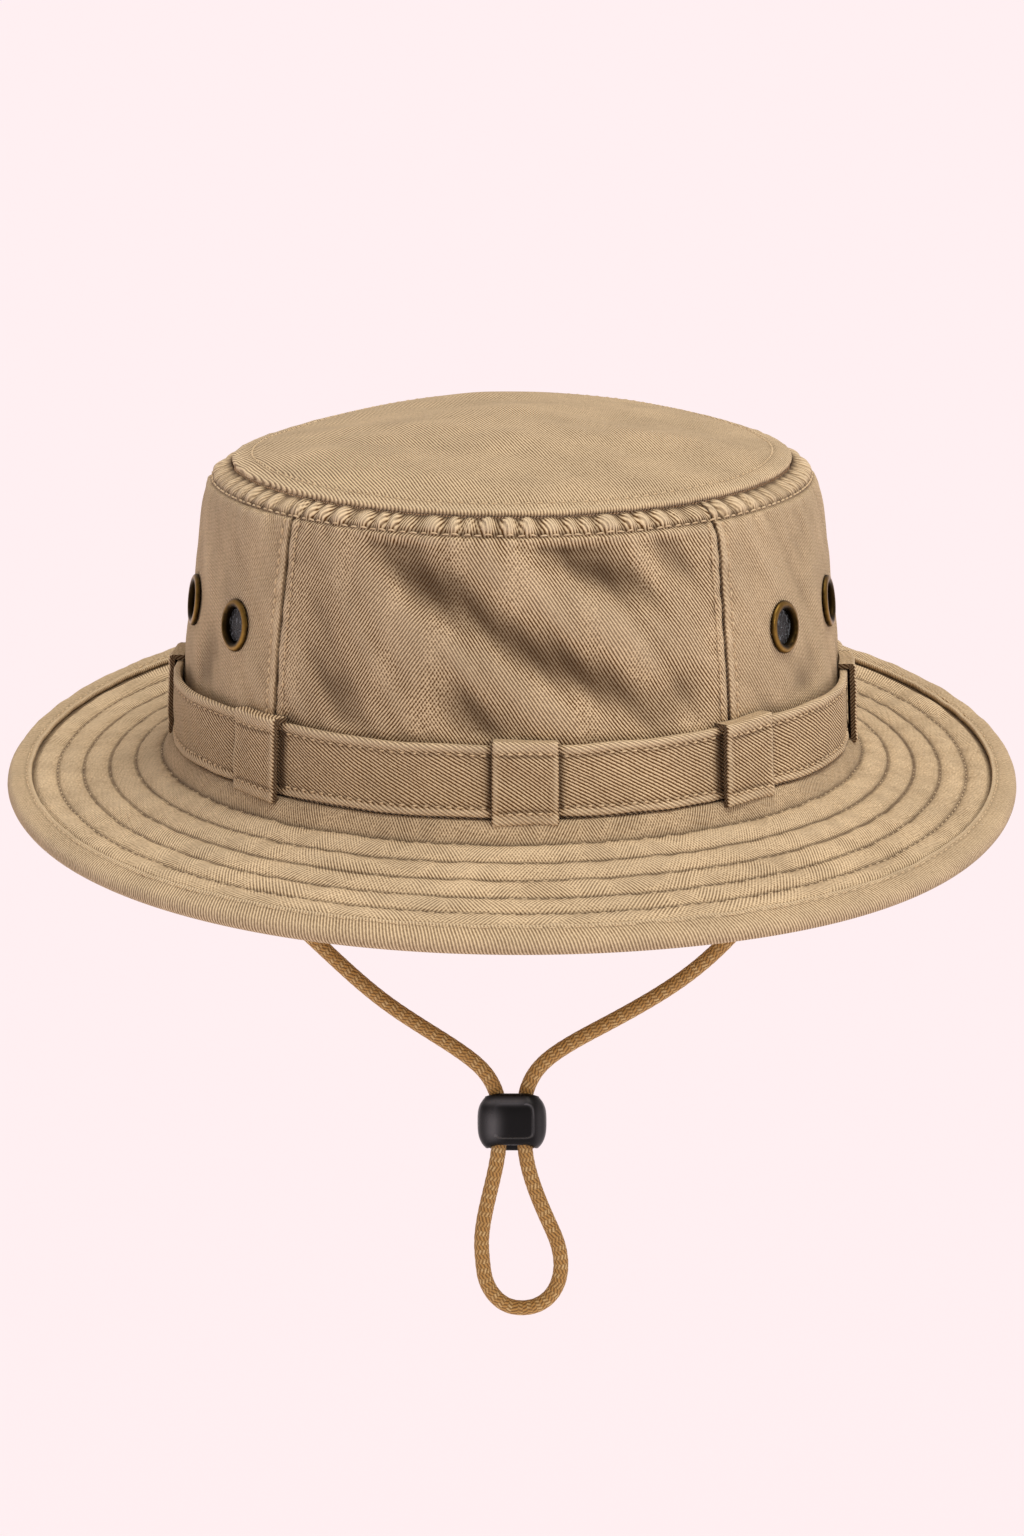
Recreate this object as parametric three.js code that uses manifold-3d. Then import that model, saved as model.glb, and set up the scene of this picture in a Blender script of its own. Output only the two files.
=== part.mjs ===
// Ranger hat of cotton twill: an oval crown with a gathered top, a quilted brim with a bound rim,
// a hat band held by cloth loops, four vent eyelets with mesh, and a chin cord with its lock.
// Millimetres, +Z up. The face side looks towards -Y, and +X is to the right seen from the front.
// The origin is the centre of the head opening, level with the lower edge of the hat band.

import * as THREE from 'three';
import { mergeVertices } from 'three/addons/utils/BufferGeometryUtils.js';
import Module from 'manifold-3d';

const wasm = await Module();
wasm.setup();

// Cloth and running sizes
const clothWall = 1.5;
const clearance = 0.3;

// Crown: outer half sizes of the oval at the head opening and at the top seam
const crownHalfWidth = 88.5;
const crownHalfLength = 102.5;
const seamHalfWidth = 74.8;
const seamHalfLength = 89.5;
const crownHeight = 74.7;
const crownTuck = 5;
const gatherHeight = 5;
const gatherDepth = 0.6;
const fellWidth = 2.8;
const fellStep = 0.6;

// Top panel: rolled edge, then a low dome
const topRoll = 2.4;
const topRollWidth = 4;
const domeRise = 8;

// Brim, measured outwards from the crown wall
const brimWidth = 47.5;
const firstStitchRow = 6;
const stitchPitch = 7;
const stitchRowCount = 5;
const quiltThin = 1.6;
const quiltPuff = 0.8;
const bindingWidth = 6.6;
const bindingCloth = 1;
const bindingBulge = 0.4;

// Hat band and its loops
const bandLow = 0.8;
const bandHigh = 19.3;
const bandCloth = 1.6;
const bandGap = 0.5;
const bandUnderlap = 0.5;
const bandSlack = 2.2;
const loopCloth = 1.3;
const loopWidth = 18;
const loopLift = 1.4;

// Vent eyelets
const eyeletHeight = 40;
const eyeletRadius = 6.9;
const eyeletBore = 4.6;
const eyeletBarrel = 5;
const eyeletRoll = 1.2;
const eyeletFlange = 0.5;
const meshThickness = 0.6;

// Chin cord, its anchors and its lock
const cordDiameter = 4.2;
const anchorSize = { deep: 5.4, wide: 9, tall: 10 };
const anchorDrop = 9;
const lockHalfWidth = 9.5;
const lockHalfDepth = 6.5;
const lockHalfHeight = 8;
const lockCentre = -111.3;
const lockSlotHalfLength = 6.5;
const lockSlotHalfDepth = 2.7;
const lockPanelDepth = 0.4;

// Fineness of the facets
const wallCell = 10.5;
const gatherCell = 3.3;
const brimColumns = 64;
const topColumns = 56;
const roundSides = 12;
const cordSides = 8;
const cordStep = 2.15;

// Wall sections: height as a share of crownHeight, spread as the share of the way
// from the top seam's oval out to the head opening's oval
const wallSections = [
  { height: 0.00, spread: 1.00 },
  { height: 0.32, spread: 0.93 },
  { height: 0.43, spread: 0.87 },
  { height: 0.55, spread: 0.79 },
  { height: 0.66, spread: 0.73 },
  { height: 0.77, spread: 0.645 },
  { height: 0.88, spread: 0.555 },
  { height: 0.94, spread: 0.44 },
  { height: 0.975, spread: 0.27 },
  { height: 1.00, spread: 0.00 },
];

// Rows of facets on the crown wall: height as a share of the way from the head opening to the gathers
const wallRows = [
  { height: 0.27 },
  { height: 0.40 },
  { height: 0.53 },
  { height: 0.66 },
  { height: 0.79 },
  { height: 0.91 },
  { height: 1.00 },
];

// Rows on the gathered strip: height as a share of gatherHeight, depth as a share of gatherDepth
const gatherRows = [
  { height: 0.30, depth: 1.0 },
  { height: 0.75, depth: 1.0 },
  { height: 1.00, depth: 0.4 },
];

// Brim sections: across as a share of brimWidth, heights of the middle surface as shares of brimWidth
const brimSections = [
  { across: 0.000, front: -0.088, side: -0.088, back: -0.088 },
  { across: 0.126, front: -0.133, side: -0.124, back: -0.105 },
  { across: 0.274, front: -0.194, side: -0.173, back: -0.114 },
  { across: 0.421, front: -0.250, side: -0.204, back: -0.105 },
  { across: 0.568, front: -0.305, side: -0.219, back: -0.080 },
  { across: 0.716, front: -0.350, side: -0.229, back: -0.042 },
  { across: 0.863, front: -0.394, side: -0.233, back: 0.010 },
  { across: 1.000, front: -0.444, side: -0.244, back: 0.058 },
];

// Slow dips of the brim: angle and spread in degrees, drop of the rim as a share of brimWidth
const brimDips = [
  { angle: 50, spread: 21, drop: 0.042 },
  { angle: -76, spread: 12, drop: -0.014 },
];

// Dents of the crown wall: angle from the front in degrees, height, length, width and depth as
// shares of crownHeight, lean in degrees from level
const wallDents = [
  { angle: -14, height: 0.78, length: 0.19, width: 0.07, lean: -25, depth: 0.028 },
  { angle: 23, height: 0.78, length: 0.16, width: 0.07, lean: -35, depth: 0.030 },
  { angle: -32, height: 0.38, length: 0.09, width: 0.07, lean: -60, depth: 0.020 },
  { angle: 18, height: 0.41, length: 0.16, width: 0.06, lean: -5, depth: 0.020 },
  { angle: -36, height: 0.60, length: 0.10, width: 0.09, lean: 0, depth: 0.015 },
  { angle: 30, height: 0.62, length: 0.12, width: 0.07, lean: 60, depth: 0.014 },
  { angle: -67, height: 0.38, length: 0.10, width: 0.07, lean: 70, depth: 0.020 },
  { angle: -92, height: 0.70, length: 0.22, width: 0.07, lean: 85, depth: 0.018 },
  { angle: 64, height: 0.76, length: 0.12, width: 0.08, lean: 75, depth: 0.016 },
  { angle: 62, height: 0.34, length: 0.10, width: 0.07, lean: 20, depth: 0.018 },
  { angle: 103, height: 0.60, length: 0.20, width: 0.08, lean: 70, depth: 0.022 },
  { angle: 158, height: 0.66, length: 0.20, width: 0.08, lean: 30, depth: 0.026 },
  { angle: -166, height: 0.74, length: 0.16, width: 0.08, lean: -30, depth: 0.024 },
  { angle: -150, height: 0.42, length: 0.14, width: 0.07, lean: -10, depth: 0.022 },
  { angle: -118, height: 0.56, length: 0.18, width: 0.08, lean: 65, depth: 0.022 },
];

// Long soft folds of the top panel: place and length as shares of the seam's half sizes,
// turn in degrees from +X, width and height as shares of domeRise
const topFolds = [
  { across: -0.35, along: -0.30, length: 0.45, width: 0.9, turn: 35, height: 0.10 },
  { across: 0.45, along: -0.20, length: 0.35, width: 0.8, turn: -40, height: -0.10 },
  { across: 0.10, along: 0.45, length: 0.45, width: 1.0, turn: 10, height: 0.12 },
];

// Vertical seams between the panels, in degrees from the front
const seams = { frontLeft: -43.9, frontRight: 39.5, backRight: 138, backLeft: 222 };

const panels = [
  { name: 'crown_front_panel', from: seams.frontLeft, to: seams.frontRight, felled: false },
  { name: 'crown_right_panel', from: seams.frontRight, to: seams.backRight, felled: true },
  { name: 'crown_back_panel', from: seams.backRight, to: seams.backLeft, felled: false },
  { name: 'crown_left_panel', from: seams.backLeft, to: seams.frontLeft + 360, felled: true },
];

// Eyelets sit in the two side panels
const eyelets = [
  { name: 'left_front', angle: -56.3, panel: 'crown_left_panel' },
  { name: 'left_side', angle: -76.7, panel: 'crown_left_panel' },
  { name: 'right_front', angle: 54.8, panel: 'crown_right_panel' },
  { name: 'right_side', angle: 75.8, panel: 'crown_right_panel' },
];

// Loops: angle in degrees from the front, width as a share of loopWidth, lift of each end as a
// share of loopLift, slack of the band after the loop as a share of bandSlack
const loops = [
  { name: 'front', angle: 2.1, width: 0.91, startLift: 0.1, endLift: 0.1, slack: 0.35 },
  { name: 'front_right', angle: 41.5, width: 1.02, startLift: 0.9, endLift: 0, slack: 1 },
  { name: 'right', angle: 87, width: 1, startLift: 0.6, endLift: 0.2, slack: 0.8 },
  { name: 'back_right', angle: 132, width: 1, startLift: 0.2, endLift: 0.3, slack: 0.6 },
  { name: 'back', angle: 177, width: 0.95, startLift: 0.2, endLift: 0.2, slack: 0.5 },
  { name: 'back_left', angle: 222, width: 1, startLift: 0.3, endLift: 0.2, slack: 0.8 },
  { name: 'left', angle: 267, width: 1, startLift: 0.2, endLift: 0.4, slack: 1 },
  { name: 'front_left', angle: 313.9, width: 1.01, startLift: 0, endLift: 1, slack: 0.4 },
];

// Route of the chin cord, chosen by hand: across, forward and height, from the left anchor
// down through the lock, round the hanging loop and back up to the right anchor
const cordRoute = [
  [-83.9, 0, -9.3],
  [-82.9, 0, -18.6],
  [-79.6, 0, -28.0],
  [-74.6, 0, -36.5],
  [-67.6, 0, -45.5],
  [-52.7, 0, -60.8],
  [-34.6, 0, -77.3],
  [-22.2, 0, -85.9],
  [-13.4, 0, -91.9],
  [-7.4, 0, -97.4],
  [-4.1, 0, -104.0],
  [-3.3, 0, -112.0],
  [-3.9, 0, -121.0],
  [-5.9, 0, -131.0],
  [-7.8, -0.4, -140.0],
  [-8.4, -0.8, -146.0],
  [-8.1, -1.1, -151.6],
  [-7.3, -1.3, -156.6],
  [-4.9, -1.5, -161.2],
  [-1.6, -1.6, -163.9],
  [2.8, -1.7, -164.8],
  [7.2, -1.6, -163.9],
  [10.7, -1.5, -161.2],
  [13.0, -1.3, -156.6],
  [13.5, -1.1, -151.7],
  [12.6, -0.8, -146.4],
  [10.2, -0.5, -140.4],
  [6.6, -0.3, -131.5],
  [3.9, 0, -121.5],
  [3.3, 0, -112.0],
  [3.7, 0, -104.0],
  [6.9, 0, -96.7],
  [14.2, 0, -90.3],
  [25.0, 0, -84.0],
  [36.8, 0, -77.2],
  [48.2, 0, -69.4],
  [66.0, 0, -51.0],
  [77.2, 0, -33.0],
  [82.6, 0, -18.6],
  [83.9, 0, -9.3],
];

const radians = THREE.MathUtils.degToRad;
const lerp = THREE.MathUtils.lerp;
const smoothstep = THREE.MathUtils.smoothstep;

// Reads a column of a table at x, on a smooth curve through its rows
function readTable(table, key, x, column) {
  const last = table.length - 1;
  if (x <= table[0][key]) return table[0][column];
  if (x >= table[last][key]) return table[last][column];
  const slope = (i) => {
    const low = table[Math.max(i - 1, 0)];
    const high = table[Math.min(i + 1, last)];
    return (high[column] - low[column]) / (high[key] - low[key]);
  };
  const next = table.findIndex((row) => row[key] > x);
  const from = table[next - 1];
  const to = table[next];
  const span = to[key] - from[key];
  const s = (x - from[key]) / span;
  const rise = to[column] - from[column];
  const startBend = slope(next - 1) * span - rise;
  const endBend = rise - slope(next) * span;
  return from[column] + rise * s + s * (1 - s) * (startBend * (1 - s) + endBend * s);
}

// Signed gap between two angles, in degrees
function angleGap(a, b) {
  return ((((a - b) % 360) + 540) % 360) - 180;
}

// Point on an oval: t is the angle from the front in degrees
function ovalPoint(halfWidth, halfLength, t) {
  return new THREE.Vector2(halfWidth * Math.sin(radians(t)), -halfLength * Math.cos(radians(t)));
}

// Level outward normal of that oval
function ovalNormal(halfWidth, halfLength, t) {
  const flat = new THREE.Vector2(halfLength * Math.sin(radians(t)), -halfWidth * Math.cos(radians(t)));
  return flat.normalize();
}

// Length of the oval for one degree of t
function ovalStretch(halfWidth, halfLength, t) {
  const point = ovalPoint(halfWidth, halfLength, t + 0.5);
  return point.distanceTo(ovalPoint(halfWidth, halfLength, t - 0.5));
}

function wallSpread(z) {
  return readTable(wallSections, 'height', z / crownHeight, 'spread');
}

function wallHalf(z) {
  const spread = wallSpread(z);
  return {
    width: lerp(seamHalfWidth, crownHalfWidth, spread),
    length: lerp(seamHalfLength, crownHalfLength, spread),
  };
}

// Upward tilt of the wall's outward normal at height z
function wallTilt(z) {
  const step = 0.5;
  const low = Math.min(z, crownHeight - step);
  return Math.atan2(wallHalf(low).width - wallHalf(low + step).width, step);
}

// Point of the crown wall at angle t and height z, moved outwards along the wall's own normal
function wallPoint(t, z, out = 0) {
  const half = wallHalf(z);
  const base = ovalPoint(half.width, half.length, t);
  const level = ovalNormal(half.width, half.length, t);
  const tilt = wallTilt(z);
  base.addScaledVector(level, out * Math.cos(tilt));
  return [base.x, base.y, z + out * Math.sin(tilt)];
}

// The same, moved level: for what hangs on the wall in level layers
function beltPoint(t, z, out) {
  const half = wallHalf(z);
  const base = ovalPoint(half.width, half.length, t);
  base.addScaledVector(ovalNormal(half.width, half.length, t), out);
  return [base.x, base.y, z];
}

function dentDepth(t, z) {
  const clearOfBand = smoothstep(z, bandHigh, bandHigh + gatherHeight);
  const gatherFoot = crownHeight - gatherHeight;
  const clearOfTop = 1 - smoothstep(z, gatherFoot - gatherHeight, gatherFoot);
  let depth = 0;
  for (const dent of wallDents) {
    const across = radians(angleGap(t, dent.angle)) * crownHalfWidth / crownHeight;
    const up = z / crownHeight - dent.height;
    const cos = Math.cos(radians(dent.lean));
    const sin = Math.sin(radians(dent.lean));
    const along = (across * cos + up * sin) / dent.length;
    const aside = (up * cos - across * sin) / dent.width;
    depth += dent.depth * crownHeight * Math.exp(-0.5 * (along * along + aside * aside));
  }
  return depth * clearOfBand * clearOfTop;
}

// Joins two rows of stations, which may differ in number; a station is { u, p }
function joinRows(triangles, lower, upper) {
  let i = 0;
  let j = 0;
  while (i < lower.length - 1 || j < upper.length - 1) {
    const nextLower = i < lower.length - 1 ? lower[i + 1].u : Infinity;
    const nextUpper = j < upper.length - 1 ? upper[j + 1].u : Infinity;
    if (nextLower <= nextUpper) {
      triangles.push(lower[i].p, lower[i + 1].p, upper[j].p);
      i += 1;
    } else {
      triangles.push(lower[i].p, upper[j + 1].p, upper[j].p);
      j += 1;
    }
  }
}

function toGeometry(triangles) {
  const geometry = new THREE.BufferGeometry();
  geometry.setAttribute('position', new THREE.Float32BufferAttribute(triangles.flat(), 3));
  const merged = mergeVertices(geometry, 1e-4);
  merged.computeVertexNormals();
  return merged;
}

// A body whose section runs round through the rows and closes on the first one. A ring repeats
// its first station; a strip is closed by two flat ends, laid out by each station's q.
function sweptBody(rows, isRing) {
  const triangles = [];
  rows.forEach((row, k) => joinRows(triangles, row, rows[(k + 1) % rows.length]));
  if (!isRing) {
    const start = rows.map((row) => row[0]);
    const end = rows.map((row) => row[row.length - 1]);
    const outline = (stations) => stations.map((s) => new THREE.Vector2(s.q[0], s.q[1]));
    for (const [a, b, c] of THREE.ShapeUtils.triangulateShape(outline(start), [])) {
      triangles.push(start[a].p, start[b].p, start[c].p);
    }
    for (const [a, b, c] of THREE.ShapeUtils.triangulateShape(outline(end), [])) {
      triangles.push(end[c].p, end[b].p, end[a].p);
    }
  }
  return toGeometry(triangles);
}

// A body whose rows run from one pole to the other, such as a dome with a wall
function poleBody(rows) {
  const triangles = [];
  for (let k = 0; k < rows.length - 1; k += 1) joinRows(triangles, rows[k], rows[k + 1]);
  return toGeometry(triangles);
}

function toManifold(geometry) {
  const bare = new THREE.BufferGeometry();
  bare.setAttribute('position', geometry.getAttribute('position').clone());
  if (geometry.index) bare.setIndex(geometry.index.clone());
  const merged = mergeVertices(bare, 1e-4);
  return new wasm.Manifold(new wasm.Mesh({
    numProp: 3,
    vertProperties: new Float32Array(merged.getAttribute('position').array),
    triVerts: new Uint32Array(merged.index.array),
  }));
}

function fromManifold(solid) {
  const mesh = solid.getMesh();
  const geometry = new THREE.BufferGeometry();
  geometry.setAttribute('position', new THREE.BufferAttribute(new Float32Array(mesh.vertProperties), 3));
  geometry.setIndex(new THREE.BufferAttribute(new Uint32Array(mesh.triVerts), 1));
  geometry.computeVertexNormals();
  return geometry;
}

const twill = new THREE.MeshStandardMaterial({ color: 0xb39872, roughness: 0.92, metalness: 0 });
const twillDark = new THREE.MeshStandardMaterial({ color: 0xa58a64, roughness: 0.92, metalness: 0 });
const brass = new THREE.MeshStandardMaterial({ color: 0x8a6a2c, roughness: 0.35, metalness: 1 });
const blackMesh = new THREE.MeshStandardMaterial({ color: 0x14171a, roughness: 0.8, metalness: 0 });
const goldCord = new THREE.MeshStandardMaterial({ color: 0x9a6f33, roughness: 0.7, metalness: 0 });
const blackPlastic = new THREE.MeshStandardMaterial({ color: 0x151617, roughness: 0.42, metalness: 0 });

const hat = new THREE.Group();

function addPiece(name, geometry, material) {
  const mesh = new THREE.Mesh(geometry, material);
  mesh.name = name;
  hat.add(mesh);
  return mesh;
}

// Angles of a wall panel's columns: the felled strip at each seam has edges of its own
function panelColumns(panel) {
  const perDegree = ovalStretch(crownHalfWidth, crownHalfLength, (panel.from + panel.to) / 2);
  const gap = clearance / 2 / ovalStretch(crownHalfWidth, crownHalfLength, panel.from);
  const start = panel.from + gap;
  const end = panel.to - gap;
  const fell = fellWidth / perDegree;
  const ramp = fellStep / perDegree;
  const inset = panel.felled ? fell + ramp : 0;
  const cells = Math.round((end - start - 2 * inset) * perDegree / wallCell);
  const columns = [];
  if (panel.felled) columns.push({ t: start, raised: true }, { t: start + fell, raised: true });
  for (let i = 0; i <= cells; i += 1) {
    columns.push({ t: lerp(start + inset, end - inset, i / cells), raised: false });
  }
  if (panel.felled) columns.push({ t: end - fell, raised: true }, { t: end, raised: true });
  return columns;
}

// Columns of the gathers: each wide cell is split evenly, and every other line stands proud
function gatherColumns(columns) {
  const fine = [];
  for (let i = 0; i < columns.length - 1; i += 1) {
    const width = (columns[i + 1].t - columns[i].t) * radians(1) * crownHalfWidth;
    const parts = Math.max(Math.round(width / gatherCell), 1);
    for (let k = 0; k < parts; k += 1) {
      fine.push({ t: lerp(columns[i].t, columns[i + 1].t, k / parts) });
    }
  }
  fine.push({ t: columns[columns.length - 1].t });
  return fine;
}

function wallStation(panel, t, z, out) {
  const p = wallPoint(t, z, out);
  return { u: (t - panel.from) / (panel.to - panel.from), p, q: [wallHalf(z).width + out, p[2]] };
}

function wallPanel(panel) {
  const columns = panelColumns(panel);
  const fine = gatherColumns(columns);
  const gatherFoot = crownHeight - gatherHeight;
  const heights = [-crownTuck, ...wallRows.map((row) => row.height * gatherFoot)];
  const outer = heights.map((z) => columns.map((column) => {
    const proud = column.raised && z > bandHigh && z < gatherFoot ? fellStep : 0;
    return wallStation(panel, column.t, z, proud - dentDepth(column.t, z));
  }));
  const gathers = gatherRows.map((row) => fine.map((column, i) => {
    const z = gatherFoot + row.height * gatherHeight;
    return wallStation(panel, column.t, z, (i % 2) * row.depth * gatherDepth);
  }));
  const inner = heights.map((z) => columns.map((column) => (
    wallStation(panel, column.t, z, -clothWall - dentDepth(column.t, z))
  )));
  const rim = columns.map((column) => wallStation(panel, column.t, crownHeight, -clothWall));
  return sweptBody([...outer, ...gathers, rim, ...inner.reverse()], false);
}

// Place, outward direction and upward direction of an eyelet on the wall
function eyeletFrame(eyelet) {
  const out = -dentDepth(eyelet.angle, eyeletHeight);
  const origin = new THREE.Vector3(...wallPoint(eyelet.angle, eyeletHeight, out));
  const outer = new THREE.Vector3(...wallPoint(eyelet.angle, eyeletHeight, out + 1));
  const axis = outer.sub(origin).normalize();
  const turn = new THREE.Quaternion().setFromUnitVectors(new THREE.Vector3(0, 1, 0), axis);
  return { origin, turn };
}

function setOnFrame(object, frame) {
  object.position.copy(frame.origin);
  object.quaternion.copy(frame.turn);
  return object;
}

function punchVents(geometry, holes) {
  let solid = toManifold(geometry);
  for (const eyelet of holes) {
    const punch = new THREE.CylinderGeometry(
      eyeletBarrel + clearance, eyeletBarrel + clearance, 8 * clothWall, roundSides,
    );
    const frame = eyeletFrame(eyelet);
    punch.applyQuaternion(frame.turn);
    punch.translate(frame.origin.x, frame.origin.y, frame.origin.z);
    solid = solid.subtract(toManifold(punch));
  }
  return fromManifold(solid);
}

for (const panel of panels) {
  const holes = eyelets.filter((eyelet) => eyelet.panel === panel.name);
  const body = wallPanel(panel);
  addPiece(panel.name, holes.length ? punchVents(body, holes) : body, twill);
}

// Height of the top panel's outer face above the seam, at a share of the way out from the centre
function topHeight(share, t) {
  const x = share * Math.sin(radians(t));
  const y = -share * Math.cos(radians(t));
  let height = crownHeight + clearance + topRoll + domeRise * (1 - share * share);
  for (const fold of topFolds) {
    const cos = Math.cos(radians(fold.turn));
    const sin = Math.sin(radians(fold.turn));
    const dx = x - fold.across;
    const dy = y - fold.along;
    const along = (dx * cos + dy * sin) / fold.length;
    const aside = (dy * cos - dx * sin) * seamHalfWidth / (fold.width * domeRise);
    height += fold.height * domeRise * Math.exp(-0.5 * (along * along + aside * aside));
  }
  return height;
}

function topPanel() {
  const ring = (count, place) => {
    const row = [];
    for (let i = 0; i <= count; i += 1) {
      row.push({ u: i / count, p: place((i % count) * 360 / count) });
    }
    return row;
  };
  const shareAt = (inset) => 1 - inset / seamHalfWidth;
  const at = (inset, z) => (t) => {
    const point = ovalPoint(seamHalfWidth - inset, seamHalfLength - inset, t);
    return [point.x, point.y, z];
  };
  const skin = (share, drop) => (t) => {
    const point = ovalPoint(seamHalfWidth * share, seamHalfLength * share, t);
    return [point.x, point.y, topHeight(share, t) - drop];
  };
  const foot = crownHeight + clearance;
  const rolled = shareAt(topRollWidth);
  return poleBody([
    [{ u: 0, p: skin(0, clothWall)(0) }],
    ring(topColumns / 2, skin(0.45, clothWall)),
    ring(topColumns, skin(shareAt(2 * topRollWidth), clothWall)),
    ring(topColumns, at(2 * clothWall, foot)),
    ring(topColumns, at(0, foot)),
    ring(topColumns, at(-0.3 * clothWall, foot + 0.5 * topRoll)),
    ring(topColumns, at(0.6 * clothWall, foot + topRoll)),
    ring(topColumns, skin(rolled, 0)),
    ring(topColumns / 2, skin(0.66, 0)),
    ring(topColumns / 2, skin(0.33, 0)),
    [{ u: 0, p: skin(0, 0)(0) }],
  ]);
}

addPiece('crown_top_panel', topPanel(), twill);

// Height of the brim's middle surface at an angle and a distance out from the crown wall
function brimHeight(t, out) {
  const across = out / brimWidth;
  const read = (column) => readTable(brimSections, 'across', across, column) * brimWidth;
  const front = read('front');
  const side = read('side');
  const back = read('back');
  const cos = Math.cos(radians(t));
  const level = (front + back) / 2;
  let height = side + (front - back) / 2 * cos + (level - side) * cos * cos;
  for (const dip of brimDips) {
    const aside = angleGap(t, dip.angle) / dip.spread;
    height -= dip.drop * brimWidth * across * across * Math.exp(-0.5 * aside * aside);
  }
  return height;
}

function brimRow(out, lift) {
  const row = [];
  for (let i = 0; i <= brimColumns; i += 1) {
    const t = (i % brimColumns) * 360 / brimColumns;
    const point = ovalPoint(crownHalfWidth + out, crownHalfLength + out, t);
    row.push({ u: i / brimColumns, p: [point.x, point.y, brimHeight(t, out) + lift] });
  }
  return row;
}

const bindingLip = brimWidth - bindingWidth;
const rawEdge = brimWidth - bindingCloth - 2 * clearance;
const rawHalf = quiltThin / 2 - 0.1;

function quiltedBrim() {
  const stitchRows = [clearance];
  for (let i = 0; i < stitchRowCount; i += 1) stitchRows.push(firstStitchRow + i * stitchPitch);
  stitchRows.push(bindingLip);
  const top = [];
  stitchRows.forEach((out, i) => {
    top.push(brimRow(out, quiltThin / 2));
    const next = stitchRows[i + 1];
    if (next) top.push(brimRow((out + next) / 2, quiltThin / 2 + quiltPuff));
  });
  top.push(brimRow(rawEdge, rawHalf));
  const under = [
    brimRow(clearance, -quiltThin / 2),
    brimRow(stitchRows[2], -quiltThin / 2 - quiltPuff / 2),
    brimRow(stitchRows[4], -quiltThin / 2 - quiltPuff / 2),
    brimRow(bindingLip, -quiltThin / 2),
    brimRow(rawEdge, -rawHalf),
  ];
  return sweptBody([...under, ...top.reverse()], true);
}

addPiece('brim_quilted', quiltedBrim(), twill);

// The binding is folded over the brim's raw edge, and its lips stand proud of the quilting
function brimBinding() {
  const inside = quiltThin / 2 + clearance;
  const outside = inside + bindingCloth;
  const middle = brimWidth - 0.55 * bindingWidth;
  const shoulder = brimWidth - 0.22 * bindingWidth;
  return sweptBody([
    brimRow(bindingLip, -outside),
    brimRow(shoulder, -outside),
    brimRow(brimWidth, -0.3 * outside),
    brimRow(brimWidth, 0.3 * outside),
    brimRow(shoulder, outside),
    brimRow(middle, outside + bindingBulge),
    brimRow(bindingLip, outside),
    brimRow(bindingLip, inside),
    brimRow(brimWidth - bindingCloth, 0.9 * inside),
    brimRow(brimWidth - bindingCloth, -0.9 * inside),
    brimRow(bindingLip, -inside),
  ], true);
}

addPiece('brim_binding', brimBinding(), twillDark);

// First and last angle of a loop on the band
function loopSpan(loop) {
  const half = loop.width * loopWidth / 2 / ovalStretch(crownHalfWidth, crownHalfLength, loop.angle);
  return { start: loop.angle - half, end: loop.angle + half };
}

// The band lies close to the crown inside each loop and stands off it in between
function bandColumns() {
  const columns = [];
  const steps = [0, 0.14, 0.38, 0.62, 0.86];
  loops.forEach((loop, i) => {
    const span = loopSpan(loop);
    const next = loopSpan(loops[(i + 1) % loops.length]);
    const nextStart = i + 1 < loops.length ? next.start : next.start + 360;
    columns.push({ t: span.start, slack: 0 }, { t: loop.angle, slack: 0 });
    for (const step of steps) {
      const slack = Math.sin(Math.PI * step) * loop.slack * bandSlack;
      columns.push({ t: lerp(span.end, nextStart, step), slack });
    }
  });
  columns.push({ t: columns[0].t + 360, slack: columns[0].slack });
  return columns;
}

function hatBand() {
  const columns = bandColumns();
  const first = columns[0].t;
  const row = (out, z) => columns.map((column, i) => {
    const t = i === columns.length - 1 ? first : column.t;
    return { u: (column.t - first) / 360, p: beltPoint(t, z, bandGap + column.slack + out) };
  });
  const edge = bandCloth * 0.8;
  return sweptBody([
    row(0, 0),
    row(bandUnderlap, 0),
    row(bandUnderlap, bandLow),
    row(bandCloth, bandLow),
    row(bandCloth, bandHigh - edge),
    row(0.7 * bandCloth, bandHigh),
    row(0, bandHigh),
  ], true);
}

addPiece('hat_band', hatBand(), twill);

// A loop runs from the crown over the band's upper edge, down its face and back under it
function bandLoop(loop) {
  const span = loopSpan(loop);
  const face = bandGap + bandCloth + clearance;
  const stations = [0, 0.5, 1];
  const row = (out, z, lifts) => stations.map((u) => {
    const t = lerp(span.start, span.end, u);
    const lift = lifts ? loopLift * lerp(loop.startLift, loop.endLift, u) : 0;
    return { u, p: beltPoint(t, z, out + lift), q: [out + lift, z] };
  });
  const low = -clearance;
  const high = bandHigh + clearance;
  const corner = 0.6 * loopCloth;
  return sweptBody([
    row(clearance, low - loopCloth, false),
    row(face + loopCloth - corner, low - loopCloth, true),
    row(face + loopCloth, low - loopCloth + corner, true),
    row(face + loopCloth, high + loopCloth - corner, true),
    row(face + loopCloth - corner, high + loopCloth, true),
    row(clearance, high + loopCloth, false),
    row(clearance, high, false),
    row(face, high, true),
    row(face, low, true),
    row(clearance, low, false),
  ], false);
}

for (const loop of loops) addPiece(`band_loop_${loop.name}`, bandLoop(loop), twillDark);

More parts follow.
